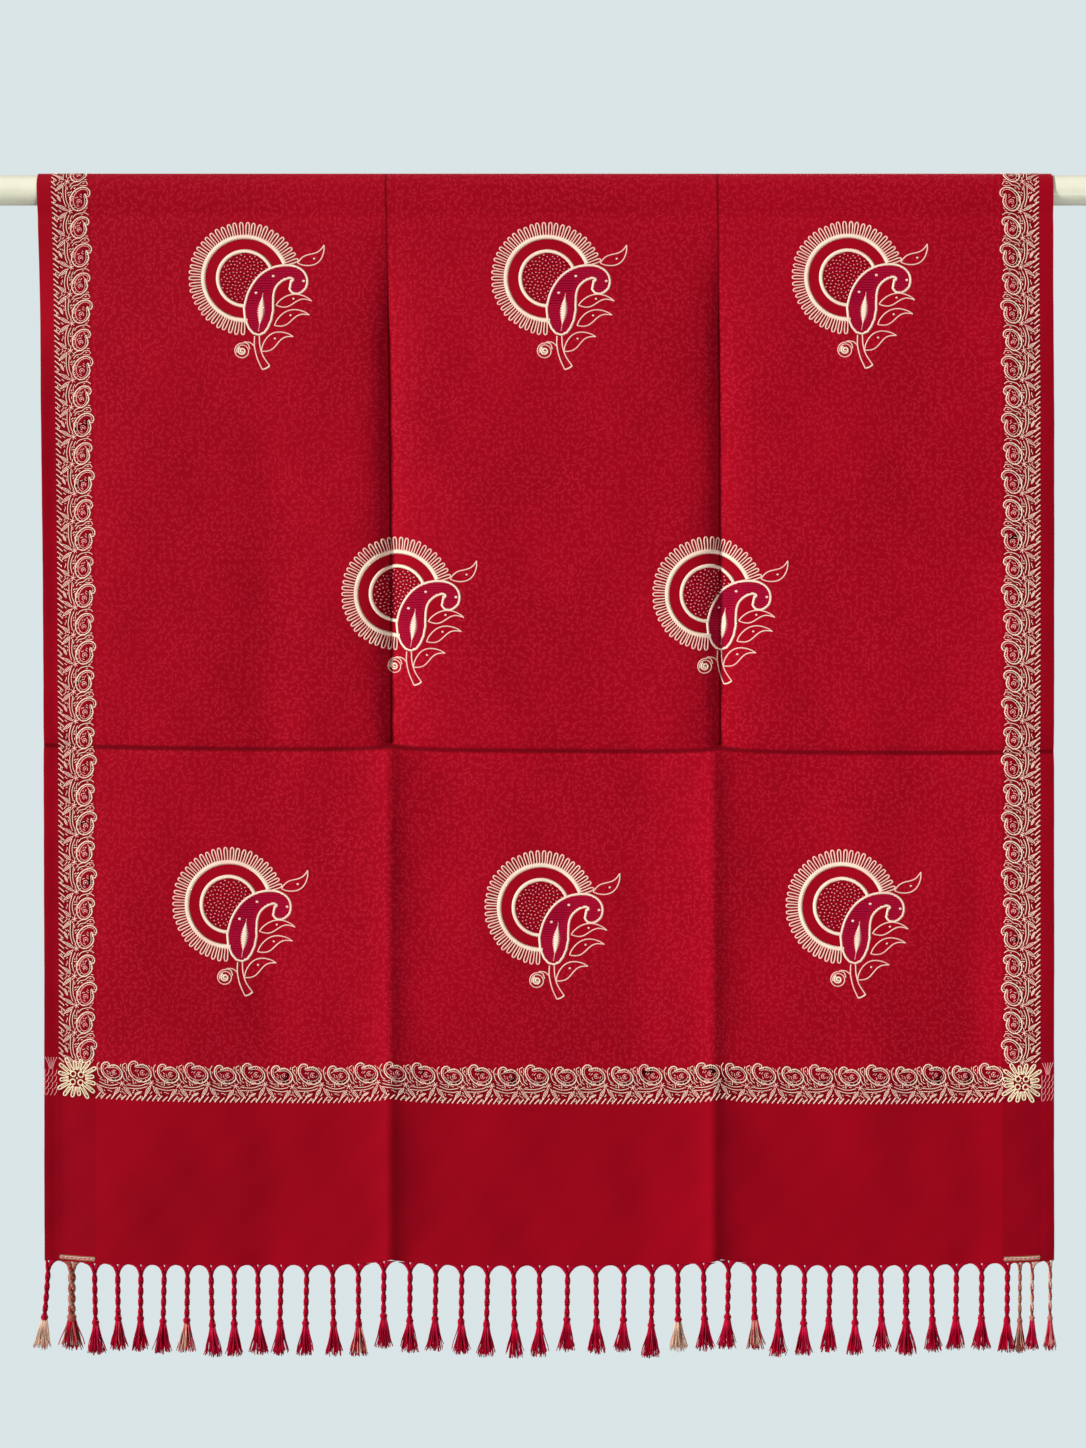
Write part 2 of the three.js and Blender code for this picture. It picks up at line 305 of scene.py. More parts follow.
class Graph:
    """A node tree, with short calls that place and wire its nodes."""

    def __init__(self, tree: NodeTree) -> None:
        """Wraps a tree."""
        self.tree = tree

    def node(self, kind: str, inputs: Optional[dict] = None, **settings: object) -> Node:
        """Adds a node.

        Args:
            kind: the node's type.
            inputs: values or sockets for its inputs, by name or number.
            settings: the node's own properties.

        Returns:
            The node.
        """
        made = self.tree.nodes.new(kind)
        for name, value in settings.items():
            setattr(made, name, value)
        return self.fill(made, inputs or {})

    def fill(self, made: Node, inputs: dict) -> Node:
        """Wires sockets into a node's inputs, or sets the inputs to plain values, and returns the node."""
        for name, value in inputs.items():
            value = value.socket if isinstance(value, Field) else value
            if isinstance(value, NodeSocket):
                self.tree.links.new(value, made.inputs[name])
            else:
                made.inputs[name].default_value = value
        return made

    def field(
        self, kind: str, inputs: Optional[dict] = None, output: object = 0, **settings: object
    ) -> "Field":
        """Adds a node as node() does, and returns one of its outputs, by name or number."""
        return Field(self, self.node(kind, inputs, **settings).outputs[output])

    def split(self, vector: object) -> list["Field"]:
        """Returns the x, y and z of a vector."""
        made = self.node("ShaderNodeSeparateXYZ", {0: vector})
        return [Field(self, socket) for socket in made.outputs]

    def join(self, x: object, y: object, z: object = 0.0) -> "Field":
        """Returns a vector made of three numbers."""
        return self.field("ShaderNodeCombineXYZ", {0: x, 1: y, 2: z})

    def vector(self, operation: str, *vectors: object) -> "Field":
        """Returns the result of a sum with vectors."""
        return self.field("ShaderNodeVectorMath", dict(enumerate(vectors)), operation=operation)

    def scale(self, vector: object, factor: object) -> "Field":
        """Returns a vector times a number."""
        return self.field("ShaderNodeVectorMath", {0: vector, "Scale": factor}, operation="SCALE")

    def noise(self, vector: object, scale: object, detail: float = 2.0) -> "Field":
        """Returns the value of a noise texture."""
        return self.field("ShaderNodeTexNoise", {"Vector": vector, "Scale": scale, "Detail": detail})

    def place(self) -> "Field":
        """Returns the place on an object in millimetres, for its material."""
        return self.scale(self.field("ShaderNodeTexCoord", output="Object"), 1.0 / MM)

    def attribute(self, name: str, output: str = "Fac") -> "Field":
        """Returns a value that the mesh carries, for its material."""
        return self.field("ShaderNodeAttribute", attribute_name=name, output=output)

    def mix(self, share: object, first: object, second: object, mode: str = "MIX") -> "Field":
        """Returns the first colour with a share of the second."""
        inputs = {0: share, 6: first, 7: second}
        return self.field("ShaderNodeMix", inputs, 2, data_type="RGBA", blend_type=mode)

    def shaded(self, colour: object, shade: object) -> "Field":
        """Returns a colour times a number."""
        grey = self.field("ShaderNodeCombineColor", {0: shade, 1: shade, 2: shade})
        return self.mix(1.0, colour, grey, "MULTIPLY")

    def bump(self, height: object, distance: float, strength: float) -> "Field":
        """Returns a normal bent by a height; distance is the height's size in metres."""
        inputs = {"Height": height, "Distance": distance, "Strength": strength}
        return self.field("ShaderNodeBump", inputs, "Normal")

    def stored(self, name: str, kind: str = "FLOAT") -> "Field":
        """Returns a value that the geometry carries."""
        return self.field("GeometryNodeInputNamedAttribute", {"Name": name}, data_type=kind)

    def store(self, geometry: object, name: str, value: object, kind: str = "FLOAT") -> "Field":
        """Stores a value on geometry and returns the geometry."""
        inputs = {"Geometry": geometry, "Name": name, "Value": value}
        return self.field("GeometryNodeStoreNamedAttribute", inputs, data_type=kind, domain="POINT")

    def close(self, geometry: object, material: object, output: Node) -> NodeTree:
        """Ends a Geometry Nodes tree with smooth, real geometry in its material, and returns the tree."""
        smooth = self.field("GeometryNodeSetShadeSmooth", {0: geometry, "Shade Smooth": True})
        real = self.field("GeometryNodeRealizeInstances", {0: smooth})
        self.fill(output, {0: self.field("GeometryNodeSetMaterial", {0: real, "Material": material})})
        self.tree.is_modifier = True
        return self.tree


def operator(operation: str) -> Callable[["Field", object], "Field"]:
    """Returns the method that does one sum with a field and what stands beside it."""
    return lambda self, other: self.math(operation, other)


class Field:
    """A number that changes over a surface, used in plain arithmetic."""

    def __init__(self, graph: Graph, socket: NodeSocket) -> None:
        """Wraps an output socket of a graph."""
        self.graph = graph
        self.socket = socket

    def math(self, operation: str, *others: object) -> "Field":
        """Adds a math node for this field and others, and returns its result."""
        return self.graph.field("ShaderNodeMath", dict(enumerate((self, *others))), operation=operation)

    __add__ = __radd__ = operator("ADD")
    __mul__ = __rmul__ = operator("MULTIPLY")
    __sub__ = operator("SUBTRACT")
    __truediv__ = operator("DIVIDE")

    def __rsub__(self, other: object) -> "Field":
        """Returns a plain number less this field."""
        return self.math("MULTIPLY_ADD", -1.0, other)

    def rise(self, low: float, high: float) -> "Field":
        """Returns 0 below low, 1 above high and a smooth rise between them; low may be the higher."""
        made = self.graph.node("ShaderNodeMapRange", {"Value": self, "From Min": low, "From Max": high})
        made.interpolation_type = "SMOOTHSTEP"
        return Field(self.graph, made.outputs[0])

    def between(self, low: float, high: float, soft: float) -> "Field":
        """Returns 1 between two values and 0 outside them, with a soft step inside each."""
        return self.rise(low, low + soft) * self.rise(high, high - soft)


def new_tree(
    name: str, kind: str, inputs: dict[str, str], outputs: dict[str, str]
) -> tuple[Graph, dict[str, Field], Node]:
    """Starts a node group.

    Args:
        name: its name.
        kind: "Shader" or "Geometry".
        inputs: the kind of each input by name.
        outputs: the kind of each output by name.

    Returns:
        Its graph, its inputs by name and its output node.
    """
    tree = bpy.data.node_groups.new(name, kind + "NodeTree")
    for direction, sockets in (("INPUT", inputs), ("OUTPUT", outputs)):
        for label, socket in sockets.items():
            tree.interface.new_socket(label, in_out=direction, socket_type="NodeSocket" + socket)
    graph = Graph(tree)
    source = graph.node("NodeGroupInput")
    given = {label: Field(graph, source.outputs[label]) for label in inputs}
    return graph, given, graph.node("NodeGroupOutput")


@dataclass
class Stroke:
    """One line of brocade, drawn flat: its points, half its width at each, and its yarn."""

    points: Array
    half_width: Array
    yarn: Yarn
    closed: bool = False


def smooth_line(knots: Sequence[Point], step: float) -> Array:
    """A smooth curve through a few points.

    Args:
        knots: the points.
        step: about how far apart the new points lie.

    Returns:
        Points on a Catmull-Rom curve.
    """
    corners = np.array(knots, float)
    padded = np.vstack([2 * corners[0] - corners[1], corners, 2 * corners[-1] - corners[-2]])
    line = []
    for i in range(1, len(padded) - 2):
        before, start, end, after = padded[i - 1 : i + 3]
        square = 2 * before - 5 * start + 4 * end - after
        cube = 3 * start - before - 3 * end + after
        steps = max(1, round(float(np.linalg.norm(end - start)) / step))
        for t in np.arange(steps) / steps:
            line.append(0.5 * (2 * start + (end - before) * t + square * t * t + cube * t**3))
    return np.array(line + [corners[-1]])


def square_to(start: Array, end: Array) -> Array:
    """Returns the unit direction to the left of a line."""
    return np.array([start[1] - end[1], end[0] - start[0]]) / float(np.linalg.norm(end - start))


def level_row(low: float, high: float, level: float, count: int) -> Array:
    """Returns points in a level row."""
    return np.stack([np.linspace(low, high, count), np.full(count, level)], axis=1)


@dataclass
class StrokeBook:
    """Strokes that belong together, drawn flat in millimetres."""

    width: float = 1.0
    step: float = 2.0
    strokes: list[Stroke] = field(default_factory=list)

    def add(
        self, points: Iterable, width: object = None, yarn: Yarn = Yarn.CREAM, closed: bool = False
    ) -> None:
        """Adds a stroke; width is its full one, one for each point, or by default the book's own."""
        line = np.array(list(points), float)
        half = np.broadcast_to(np.asarray(self.width if width is None else width, float) / 2.0, len(line))
        self.strokes.append(Stroke(line, np.array(half), yarn, closed))

    def arc(self, centre: Point, radius: float, start: float, end: float, **style: object) -> None:
        """Adds an arc of a circle, with its angles in degrees."""
        self.spiral(centre, radius, radius, start, end, **style)

    def spiral(
        self, centre: Point, first: float, last: float, start: float, end: float, **style: object
    ) -> None:
        """Adds a spiral between two radii and two angles in degrees."""
        sweep = math.radians(abs(end - start)) * max(first, last)
        count = max(3, round(sweep / self.step) + 1)
        angle = np.radians(np.linspace(start, end, count))
        radius = np.linspace(first, last, count)
        turned = np.stack([np.cos(angle), np.sin(angle)], axis=1)
        self.add(np.array(centre) + radius[:, None] * turned, **style)

    def curve(self, *knots: Point, **style: object) -> None:
        """Adds a smooth curve through some points."""
        self.add(smooth_line(knots, self.step), **style)

    def dot(self, centre: Point, size: float, yarn: Yarn = Yarn.CREAM) -> None:
        """Adds a dot as a short thick stroke."""
        x, y = centre
        reach, end = size * 0.42, size * 0.55
        self.add([(x - reach, y), (x, y), (x + reach, y)], [end, size, end], yarn)

    def petal(self, base: Point, tip: Point, plump: float, **style: object) -> None:
        """Adds the outline of an almond petal between two points; plump is its half width."""
        start, end = np.array(base, float), np.array(tip, float)
        aside = square_to(start, end)
        for sign in (1.0, -1.0):
            middle = start * 0.55 + end * 0.45 + sign * plump * aside
            self.curve(tuple(start), tuple(middle), tuple(end), **style)

    def ground(self, radius: float, pitch: float, cover: float = 1.05) -> None:
        """Fills a disc with low dark rows; cover is each row's width as a share of the pitch."""
        for level in np.arange(pitch / 2.0 - radius, radius, pitch):
            half = math.sqrt(radius * radius - level * level)
            count = max(3, round(half / 1.8) + 1)
            self.add(level_row(-half, half, level, count), pitch * cover, Yarn.SHADE)


@dataclass(frozen=True)
class SpineStation:
    """A place on a paisley's spine: how far along, where it heads in degrees, and its half width."""

    along: float
    heading: float
    half_width: float


def stations(*rows: Triple) -> tuple[SpineStation, ...]:
    """Returns the stations of a spine from rows of along, heading and half width."""
    return tuple(SpineStation(*row) for row in rows)


def spine_outline(
    start: Point, stations: Sequence[SpineStation], step: float, fullness: float = 1.0
) -> Array:
    """Returns the closed outline of a paisley; fullness is the share of the half widths that is used."""
    spine, heading, half = spine_line(start, stations, step)
    aside = np.stack([-np.sin(heading), np.cos(heading)], axis=1) * (half * fullness)[:, None]
    return np.vstack([spine + aside, (spine - aside)[-2:0:-1]])


def spine_line(
    start: Point, stations: Sequence[SpineStation], step: float
) -> tuple[Array, Array, Array]:
    """A paisley's spine.

    Args:
        start: where it starts.
        stations: its stations.
        step: about how far apart the points lie.

    Returns:
        Its points, and the heading in radians and the half width at each.
    """
    table = np.array([(row.along, row.heading, row.half_width) for row in stations])
    along = np.concatenate([
        np.linspace(low, high, max(2, math.ceil((high - low) / step)), endpoint=False)
        for low, high in zip(table[:-1, 0], table[1:, 0])
    ] + [table[-1:, 0]])
    heading = np.radians(np.interp(along, table[:, 0], table[:, 1]))
    half = np.interp(along, table[:, 0], table[:, 2])
    stride = np.diff(along, prepend=0.0)
    spine = np.array(start) + np.cumsum(
        np.stack([np.cos(heading) * stride, np.sin(heading) * stride], axis=1), axis=0)
    return spine, heading, half


def polar(degrees: float, reach: float = 1.0) -> Array:
    """Returns the point that lies in a direction at a reach."""
    return np.array([math.cos(math.radians(degrees)), math.sin(math.radians(degrees))]) * reach


def petal_loop(degrees: float, root: float, tip: float, half: float) -> Array:
    """A narrow loop that points away from the middle of a drawing.

    Args:
        degrees: the direction that it points in.
        root: how far out it opens.
        tip: how far out its round end lies.
        half: half its width.

    Returns:
        Its points, from one foot round to the other.
    """
    out = polar(degrees)
    aside = np.array([-out[1], out[0]])
    share = np.linspace(0, 1, 11)
    rise = np.sin(math.pi * share)
    lean = np.cos(math.pi * share)
    far = root + (tip - root) * rise**0.45
    off = -half * np.sign(lean) * np.abs(lean) ** 0.7 * (0.6 + 0.4 * rise**0.5)
    return out * far[:, None] + aside * off[:, None]


@dataclass(frozen=True)
class Leaf:
    """A leaf of the sun motif: its ends, how far its full edge bows, and how far its other edge waves."""

    base: Point
    tip: Point
    bow: float
    wave: float

    def edges(self, count: int = 13) -> list[Array]:
        """Returns the two edges, each a row of points from base to tip."""
        base, tip = np.array(self.base), np.array(self.tip)
        aside = square_to(base, tip)
        share = np.linspace(0, 1, count)
        full = self.bow * np.sin(math.pi * share) ** 0.75
        waved = self.wave * np.sin(math.tau * share)
        return [base + share[:, None] * (tip - base) + off[:, None] * aside for off in (full, waved)]


@dataclass(frozen=True)
class SunMotif:
    """A ring of loops round a dotted disc, with a paisley, leaves, stem and scroll over its lower right."""

    outer_ring: float = 42.4
    outer_ring_width: float = 4.8
    inner_ring: float = 27.7
    inner_ring_width: float = 3.9
    outer_arc: Point = (21.0, 272.0)
    inner_arc: Point = (24.0, 266.0)
    loop_arc: Point = (19.0, 271.0)
    loop_count: int = 54
    loop_root: float = 43.4
    loop_tip: float = 57.8
    loop_width: float = 4.4
    dot_spread: float = 2.1
    dot_reach: float = 24.6
    paisley_start: Point = (13, -56.8)
    outline_width: float = 2.6
    rib_pitch: float = 1.7
    clear_radius: float = 60.0
    spine: tuple[SpineStation, ...] = stations(
        (0, 94, 0), (2, 93, 5.5), (7, 92, 9.5), (15, 90, 13), (26, 86, 14.6),
        (38, 78, 13.2), (50, 63, 11), (62, 38, 9), (72, 20, 7.4), (80, 4, 6.4),
        (87, -24, 6.2), (94, -72, 7.4), (100, -116, 8.2), (105, -148, 7),
        (108.5, -166, 4.4), (110.5, -176, 0),
    )
    leaves: tuple[Leaf, ...] = (
        Leaf((52.8, 15.5), (79.6, 33.9), -11, 2.2),
        Leaf((30.5, -27), (66.5, -22.8), 9, -3),
        Leaf((28.8, -47.5), (64, -36.8), 10.3, -3),
        Leaf((15.4, -73.4), (47.5, -58.6), 11.6, -2.8),
    )

    def paisley_outline(self) -> Array:
        """Returns the closed outline of the paisley."""
        return spine_outline(self.paisley_start, self.spine, 2.1)

    def draw(self, rng: np.random.Generator) -> StrokeBook:
        """Draws the motif.

        Args:
            rng: source of the small unevenness of handwork.

        Returns:
            Its strokes, round the ring's centre.
        """
        book = StrokeBook(width=1.25, step=2.2)
        outline = self.paisley_outline()
        self.draw_rings(book, rng, outline)
        self.draw_paisley(book, outline)
        self.draw_leaves(book)
        self.draw_stem(book)
        return book

    def draw_rings(self, book: StrokeBook, rng: np.random.Generator, outline: Array) -> None:
        """Draws both rings, the loops round them and the dotted disc."""
        book.ground(self.inner_ring - 1.2, 3.4, 0.55)
        book.arc((0, 0), self.loop_root + 4.2, 20, 271, width=9, yarn=Yarn.SHADE)
        book.arc((0, 0), self.outer_ring, *self.outer_arc, width=self.outer_ring_width)
        book.arc((0, 0), self.inner_ring, *self.inner_arc, width=self.inner_ring_width)
        half = self.loop_width * 0.47
        for index in range(self.loop_count):
            degrees = index * 360 / self.loop_count + rng.uniform(-0.35, 0.35)
            if not self.loop_arc[0] < degrees < self.loop_arc[1]:
                continue
            tip = self.loop_tip - rng.uniform(0.4, 1.6)
            loop = petal_loop(degrees, self.loop_root, tip, half)
            middle = loop[len(loop) // 2]
            book.add([middle * 0.8, middle * 0.97], 2, Yarn.SHADE)
            book.add(loop, 1.5, Yarn.BLUSH)
        for index in range(round((self.dot_reach / self.dot_spread) ** 2)):
            reach = self.dot_spread * math.sqrt(index + 0.5)
            angle = index * math.pi * (3 - math.sqrt(5))
            x = reach * math.cos(angle) + rng.uniform(-0.4, 0.4)
            y = reach * math.sin(angle) + rng.uniform(-0.4, 0.4)
            if not inside(outline, x - 1.6, y - 1.6):
                book.dot((x, y), 1.5, Yarn.ROSE)

    def draw_paisley(self, book: StrokeBook, outline: Array) -> None:
        """Draws the paisley's ribs, outline, seed and dots."""
        for level in np.arange(outline[:, 1].min() + 1.5, outline[:, 1].max() - 1, self.rib_pitch):
            for low, high in level_spans(outline, level):
                if high - low > 3:
                    count = max(2, round((high - low) / 4.4) + 1)
                    book.add(level_row(low + 0.8, high - 0.8, level, count), 1.2, Yarn.MAGENTA)
        book.add(outline, self.outline_width, Yarn.CREAM, closed=True)
        seed = smooth_line([(17.5, -15), (16.6, -22), (15.6, -32), (14.4, -42), (12.6, -53)], 2.4)
        share = np.linspace(0, 1, len(seed))
        book.add(seed, 0.8 + 7 * np.sin(math.pi * np.clip((share - 0.08) / 0.74, 0, 1)) ** 1.3)
        for place in ((28, 2.5), (10.5, -14.5), (58.5, -2.5)):
            book.dot(place, 3)

    def draw_leaves(self, book: StrokeBook) -> None:
        """Draws the leaves, each with its dot."""
        for leaf in self.leaves:
            edges = leaf.edges()
            for edge in edges:
                book.add(edge, 1.3, Yarn.BLUSH)
            middle = len(edges[0]) // 2
            book.dot(tuple((edges[0][middle] + edges[1][middle]) / 2), 2.3)

    def draw_stem(self, book: StrokeBook) -> None:
        """Draws the stem with its slanting end, and the scroll beside it."""
        book.curve((8.6, -58), (8.4, -68), (11, -80), (16, -91.5), width=1.4, yarn=Yarn.BLUSH)
        book.curve((13.4, -58), (14, -68), (17, -78), (23.5, -88), width=1.4, yarn=Yarn.BLUSH)
        book.curve((16, -91.5), (19.6, -90.6), (23.5, -88), width=1.6)
        book.spiral((-4, -73), 0.8, 4.2, -30, -600, width=1.9)
        book.spiral((-4, -73), 5.4, 7.9, -160, -640, width=1.15, yarn=Yarn.BLUSH)
        book.curve((3.6, -71.2), (2, -66), (-3, -64.4), width=1.3, yarn=Yarn.BLUSH)
        book.curve((8.6, -68.4), (4, -64.6), (-2, -64), width=1.3, yarn=Yarn.BLUSH)


def inside(outline: Array, x: float, y: float) -> bool:
    """Returns whether a point lies inside a closed outline."""
    return any(low < x < high for low, high in level_spans(outline, y))


def level_spans(outline: Array, level: float) -> list[Point]:
    """Returns the low and high end of each stretch of a level line inside a closed outline."""
    after = np.roll(outline, -1, axis=0)
    crosses = (outline[:, 1] > level) != (after[:, 1] > level)
    start, end = outline[crosses], after[crosses]
    xs = np.sort(start[:, 0] + (level - start[:, 1]) / (end[:, 1] - start[:, 1]) * (end[:, 0] - start[:, 0]))
    return list(zip(xs[0::2], xs[1::2]))


@dataclass(frozen=True)
class BorderRepeat:
    """One repeat of the brocade border: x runs from its outer edge to the field, y along the border."""

    length: float = 57.0
    width: float = 38.0
    lobe: tuple[SpineStation, ...] = stations(
        (0, 112, 0), (0.8, 110, 3.8), (3.2, 104, 7), (7.5, 96, 8.8), (13, 82, 8),
        (18.5, 54, 5.4), (22.5, 14, 3.6), (25.8, -50, 2.9), (28.6, -125, 2.3),
        (30.2, -165, 0),
    )
    seed: int = 21
    fill_pitch: float = 2.2
    fill_clear: float = 1.75
    outer_margin: float = 7.0
    dashes: int = 11

    def draw(self) -> StrokeBook:
        """Returns the repeat's strokes."""
        book = StrokeBook(width=0.8, step=2.4)
        self.draw_lobe(book, (29.4, 1.4), 1, 0)
        self.draw_lobe(book, (28.6, 30.6), 0.92, 2)
        self.draw_centre(book)
        self.draw_sprays(book)
        self.draw_feathers(book)
        self.fill_gaps(book)
        return book

    def draw_lobe(self, book: StrokeBook, start: Point, size: float, turn: float) -> None:
        """Draws a curled paisley with a beaded double outline and a seed.

        Args:
            book: where it goes.
            start: the foot of its spine.
            size: its scale.
            turn: how far it is turned, in degrees.
        """
        stations = [SpineStation(row.along * size, row.heading + turn, row.half_width * size)
                    for row in self.lobe]
        spine, _, half = spine_line(start, stations, 2.6)
        book.add(spine, half * 1.9, Yarn.SHADE)
        outer = spine_outline(start, stations, 2.1)
        inner = spine_outline((start[0], start[1] + 1.9), [
            SpineStation(row.along * 0.86, row.heading, row.half_width) for row in stations[:-2]
        ] + [SpineStation(stations[-2].along * 0.86, stations[-2].heading, 0)], 1.9, 0.66)
        book.add(outer, 1.25, Yarn.CREAM, closed=True)
        book.add(inner, 0.75, Yarn.BLUSH, closed=True)
        for index in range(2, len(outer) - 2, 2):
            near = inner[np.argmin(np.linalg.norm(inner - outer[index], axis=1))]
            if float(np.linalg.norm(near - outer[index])) < 4:
                bead = [outer[index] * 0.8 + near * 0.2, outer[index] * 0.3 + near * 0.7]
                book.add(bead, 0.65, Yarn.BLUSH)
        heart = (start[0] - 1.2 * size, start[1] + 8.4 * size)
        book.arc(heart, 2.5 * size, -40, 250, yarn=Yarn.BLUSH)
        book.dot(heart, 2.4, Yarn.ROSE)

    def draw_centre(self, book: StrokeBook) -> None:
        """Draws the cream clusters and the vines that wind between them."""
        for centre in ((18.6, 0.6), (16.6, 30.2)):
            for degrees in (20, 80, 140):
                reach = polar(degrees, 3)
                points = [np.array(centre) - reach, centre, np.array(centre) + reach]
                book.add(points, [0.7, 1, 0.7], Yarn.BLUSH)
        for shift in (0, 3.4):
            book.curve((18.2 - shift, 4.8), (15.6 - shift * 0.8, 10.4), (14.9 - shift * 0.8, 17.6),
                       (15.8 - shift, 25.8))
            book.curve((15.8 - shift, 34.6), (14.4 - shift * 0.9, 40.6), (14.8 - shift * 0.8, 47),
                       (17.4 - shift, 53.4))
        book.curve((20, 22), (22.6, 25.4), (27.6, 26.6), (31, 29.6), (35.6, 30), (37.2, 27))
        book.curve((21, 50.4), (23.6, 53.8), (28.2, 55.4), (33.4, 56), (36.8, 53.8))
        book.curve((19.4, 26.8), (24, 29.4), (28.4, 30))
        book.spiral((20.4, 13), 0.9, 2.6, 60, -320, yarn=Yarn.BLUSH)
        book.spiral((19.6, 42.6), 0.9, 2.6, 120, 480, yarn=Yarn.BLUSH)

    def draw_sprays(self, book: StrokeBook) -> None:
        """Draws the leaves that sweep from the centre line to the outer edge."""
        for start, end, plump in (
            ((16, 1), (5, 7), 1.5),
            ((13.4, 28.4), (4.6, 20), 1.5),
            ((13, 32), (4.4, 38.4), 1.5),
            ((15.4, 56), (5.4, 48.6), 1.5),
            ((9.4, 10), (6.2, 17), 1.1),
        ):
            book.petal(start, end, plump, yarn=Yarn.BLUSH)
            foot, sweep = np.array(start), np.array(end) - start
            book.add([foot + sweep * 0.25, foot + sweep * 0.7], 0.8)

    def draw_feathers(self, book: StrokeBook) -> None:
        """Draws the slanting dashes and small hooks of the serrated outer edge."""
        pitch = self.length / self.dashes
        for index in range(self.dashes):
            y = pitch * (index + 0.4)
            reach = 5.8 + 0.9 * math.sin(index * 2.1)
            book.curve((0.4, y + 2.4), (reach * 0.5, y + 0.4), (reach, y - 2.2), width=1.35, yarn=Yarn.BLUSH)
            if index % 4 == 1:
                book.arc((3.4, y + 2.6), 1.4, 100, 330, width=0.8)

    def fill_gaps(self, book: StrokeBook) -> None:
        """Fills what is left open with short stitches that lie along their nearest line."""
        rng = np.random.default_rng(self.seed)
        middles, headings = [], []
        for stroke in book.strokes:
            if stroke.yarn is Yarn.SHADE:
                continue
            ends = np.vstack([stroke.points, stroke.points[:1]]) if stroke.closed else stroke.points
            middles.extend((ends[:-1] + ends[1:]) / 2)
            headings.extend(ends[1:] - ends[:-1])
        hearts = [stroke.points[1] for stroke in book.strokes if stroke.yarn is Yarn.ROSE]
        edge = self.width - 2.6
        for row in range(int(self.length / self.fill_pitch)):
            for column in range(int(edge / self.fill_pitch)):
                spot = np.array([column + 0.9 + rng.uniform(-0.3, 0.3), row + 0.5 + rng.uniform(-0.3, 0.3)])
                spot = spot * self.fill_pitch
                if spot[0] < self.outer_margin:
                    continue
                gaps = np.linalg.norm(np.array(middles) - spot, axis=1)
                nearest = int(np.argmin(gaps))
                if gaps[nearest] < self.fill_clear or min(math.dist(spot, heart) for heart in hearts) < 3.4:
                    continue
                heading = headings[nearest] / float(np.linalg.norm(headings[nearest]))
                reach = heading * rng.uniform(0.9, 1.5)
                book.add([spot - reach, spot + reach], 0.8, Yarn.BLUSH if rng.random() < 0.6 else Yarn.CREAM)
                middles.extend([spot - reach * 0.5, spot, spot + reach * 0.5])
                headings.extend([heading, heading, heading])


@dataclass(frozen=True)
class CornerBlock:
    """The flower in each corner, where the side and end borders meet, drawn round its centre."""

    half: float = 17.6
    petals: int = 16

    def draw(self) -> StrokeBook:
        """Returns the block's strokes."""
        book = StrokeBook(width=1, step=2.2)
        book.ground(self.half * 0.92, 3.4)
        for index in range(self.petals):
            degrees = index * 360 / self.petals + 8
            squareness = 1 + 0.34 * math.sin(2 * math.radians(degrees)) ** 2
            reach = self.half * squareness * (0.96 if index % 2 == 0 else 1.02)
            loop = petal_loop(degrees, 8.4, reach, 2)
            middle = loop[len(loop) // 2]
            book.add(loop, 1.5, Yarn.GOLD)
            book.add([middle * 0.5, middle * 0.84], 0.9, Yarn.GOLD)
        for x, y in ((-3.8, 4.2), (4.2, 3.8), (-4.2, -3.8), (3.8, -4.2)):
            book.arc((x, y), 2.8, 0, 340, width=1.7, yarn=Yarn.GOLD)
        book.dot((0, 0), 2.2, Yarn.GOLD)
        return book


@dataclass(frozen=True)
class SelvedgeHatch:
    """A fan and rows of slanting pink strokes on the selvedge, drawn round their centre."""

    half_wide: float = 5.8
    half_high: float = 19.0
    fan_foot: float = 7.0

    def draw(self) -> StrokeBook:
        """Returns the strokes."""
        book = StrokeBook(width=0.65, step=3)
        for index in range(5):
            across = self.half_wide * (index / 2 - 1)
            middle = (self.fan_foot + self.half_high) / 2
            book.curve((across * 0.25, self.fan_foot), (across * 0.5, middle), (across, self.half_high),
                       yarn=Yarn.ROSE)
        for row in range(4):
            top = self.fan_foot - 0.5 - row * 6.4
            for column in range(4):
                across = self.half_wide * (column / 1.5 - 1)
                foot = max(across - 2.6, -self.half_wide)
                book.curve((foot, top - 6.6), (across - 0.6, top - 3.4), (across, top), yarn=Yarn.ROSE)
        return book


@dataclass(frozen=True)
class HemBar:
    """The short striped bar woven into the hem at each end of the side borders, drawn round its centre."""

    half_wide: float = 18.0

    def draw(self) -> StrokeBook:
        """Returns the strokes."""
        book = StrokeBook(width=1, step=4.5)
        for level, yarn in ((1.9, Yarn.OLIVE), (0.9, Yarn.BLUSH), (-0.9, Yarn.ROSE), (-1.9, Yarn.OLIVE)):
            book.curve((-self.half_wide, level), (0, level), (self.half_wide, level), width=0.8, yarn=yarn)
        for index in range(25):
            x = -self.half_wide + index * self.half_wide / 12
            yarn = Yarn.ROSE if index % 3 == 1 else Yarn.OLIVE
            book.add([(x - 0.7, -0.6), (x + 0.7, 0.6)], 0.9, yarn)
        return book


@dataclass(frozen=True)
class Place:
    """Where a drawing goes on the flat cloth, its turn in degrees, and whether it is mirrored first."""

    across: float
    along: float
    turn: float = 0.0
    flip: bool = False


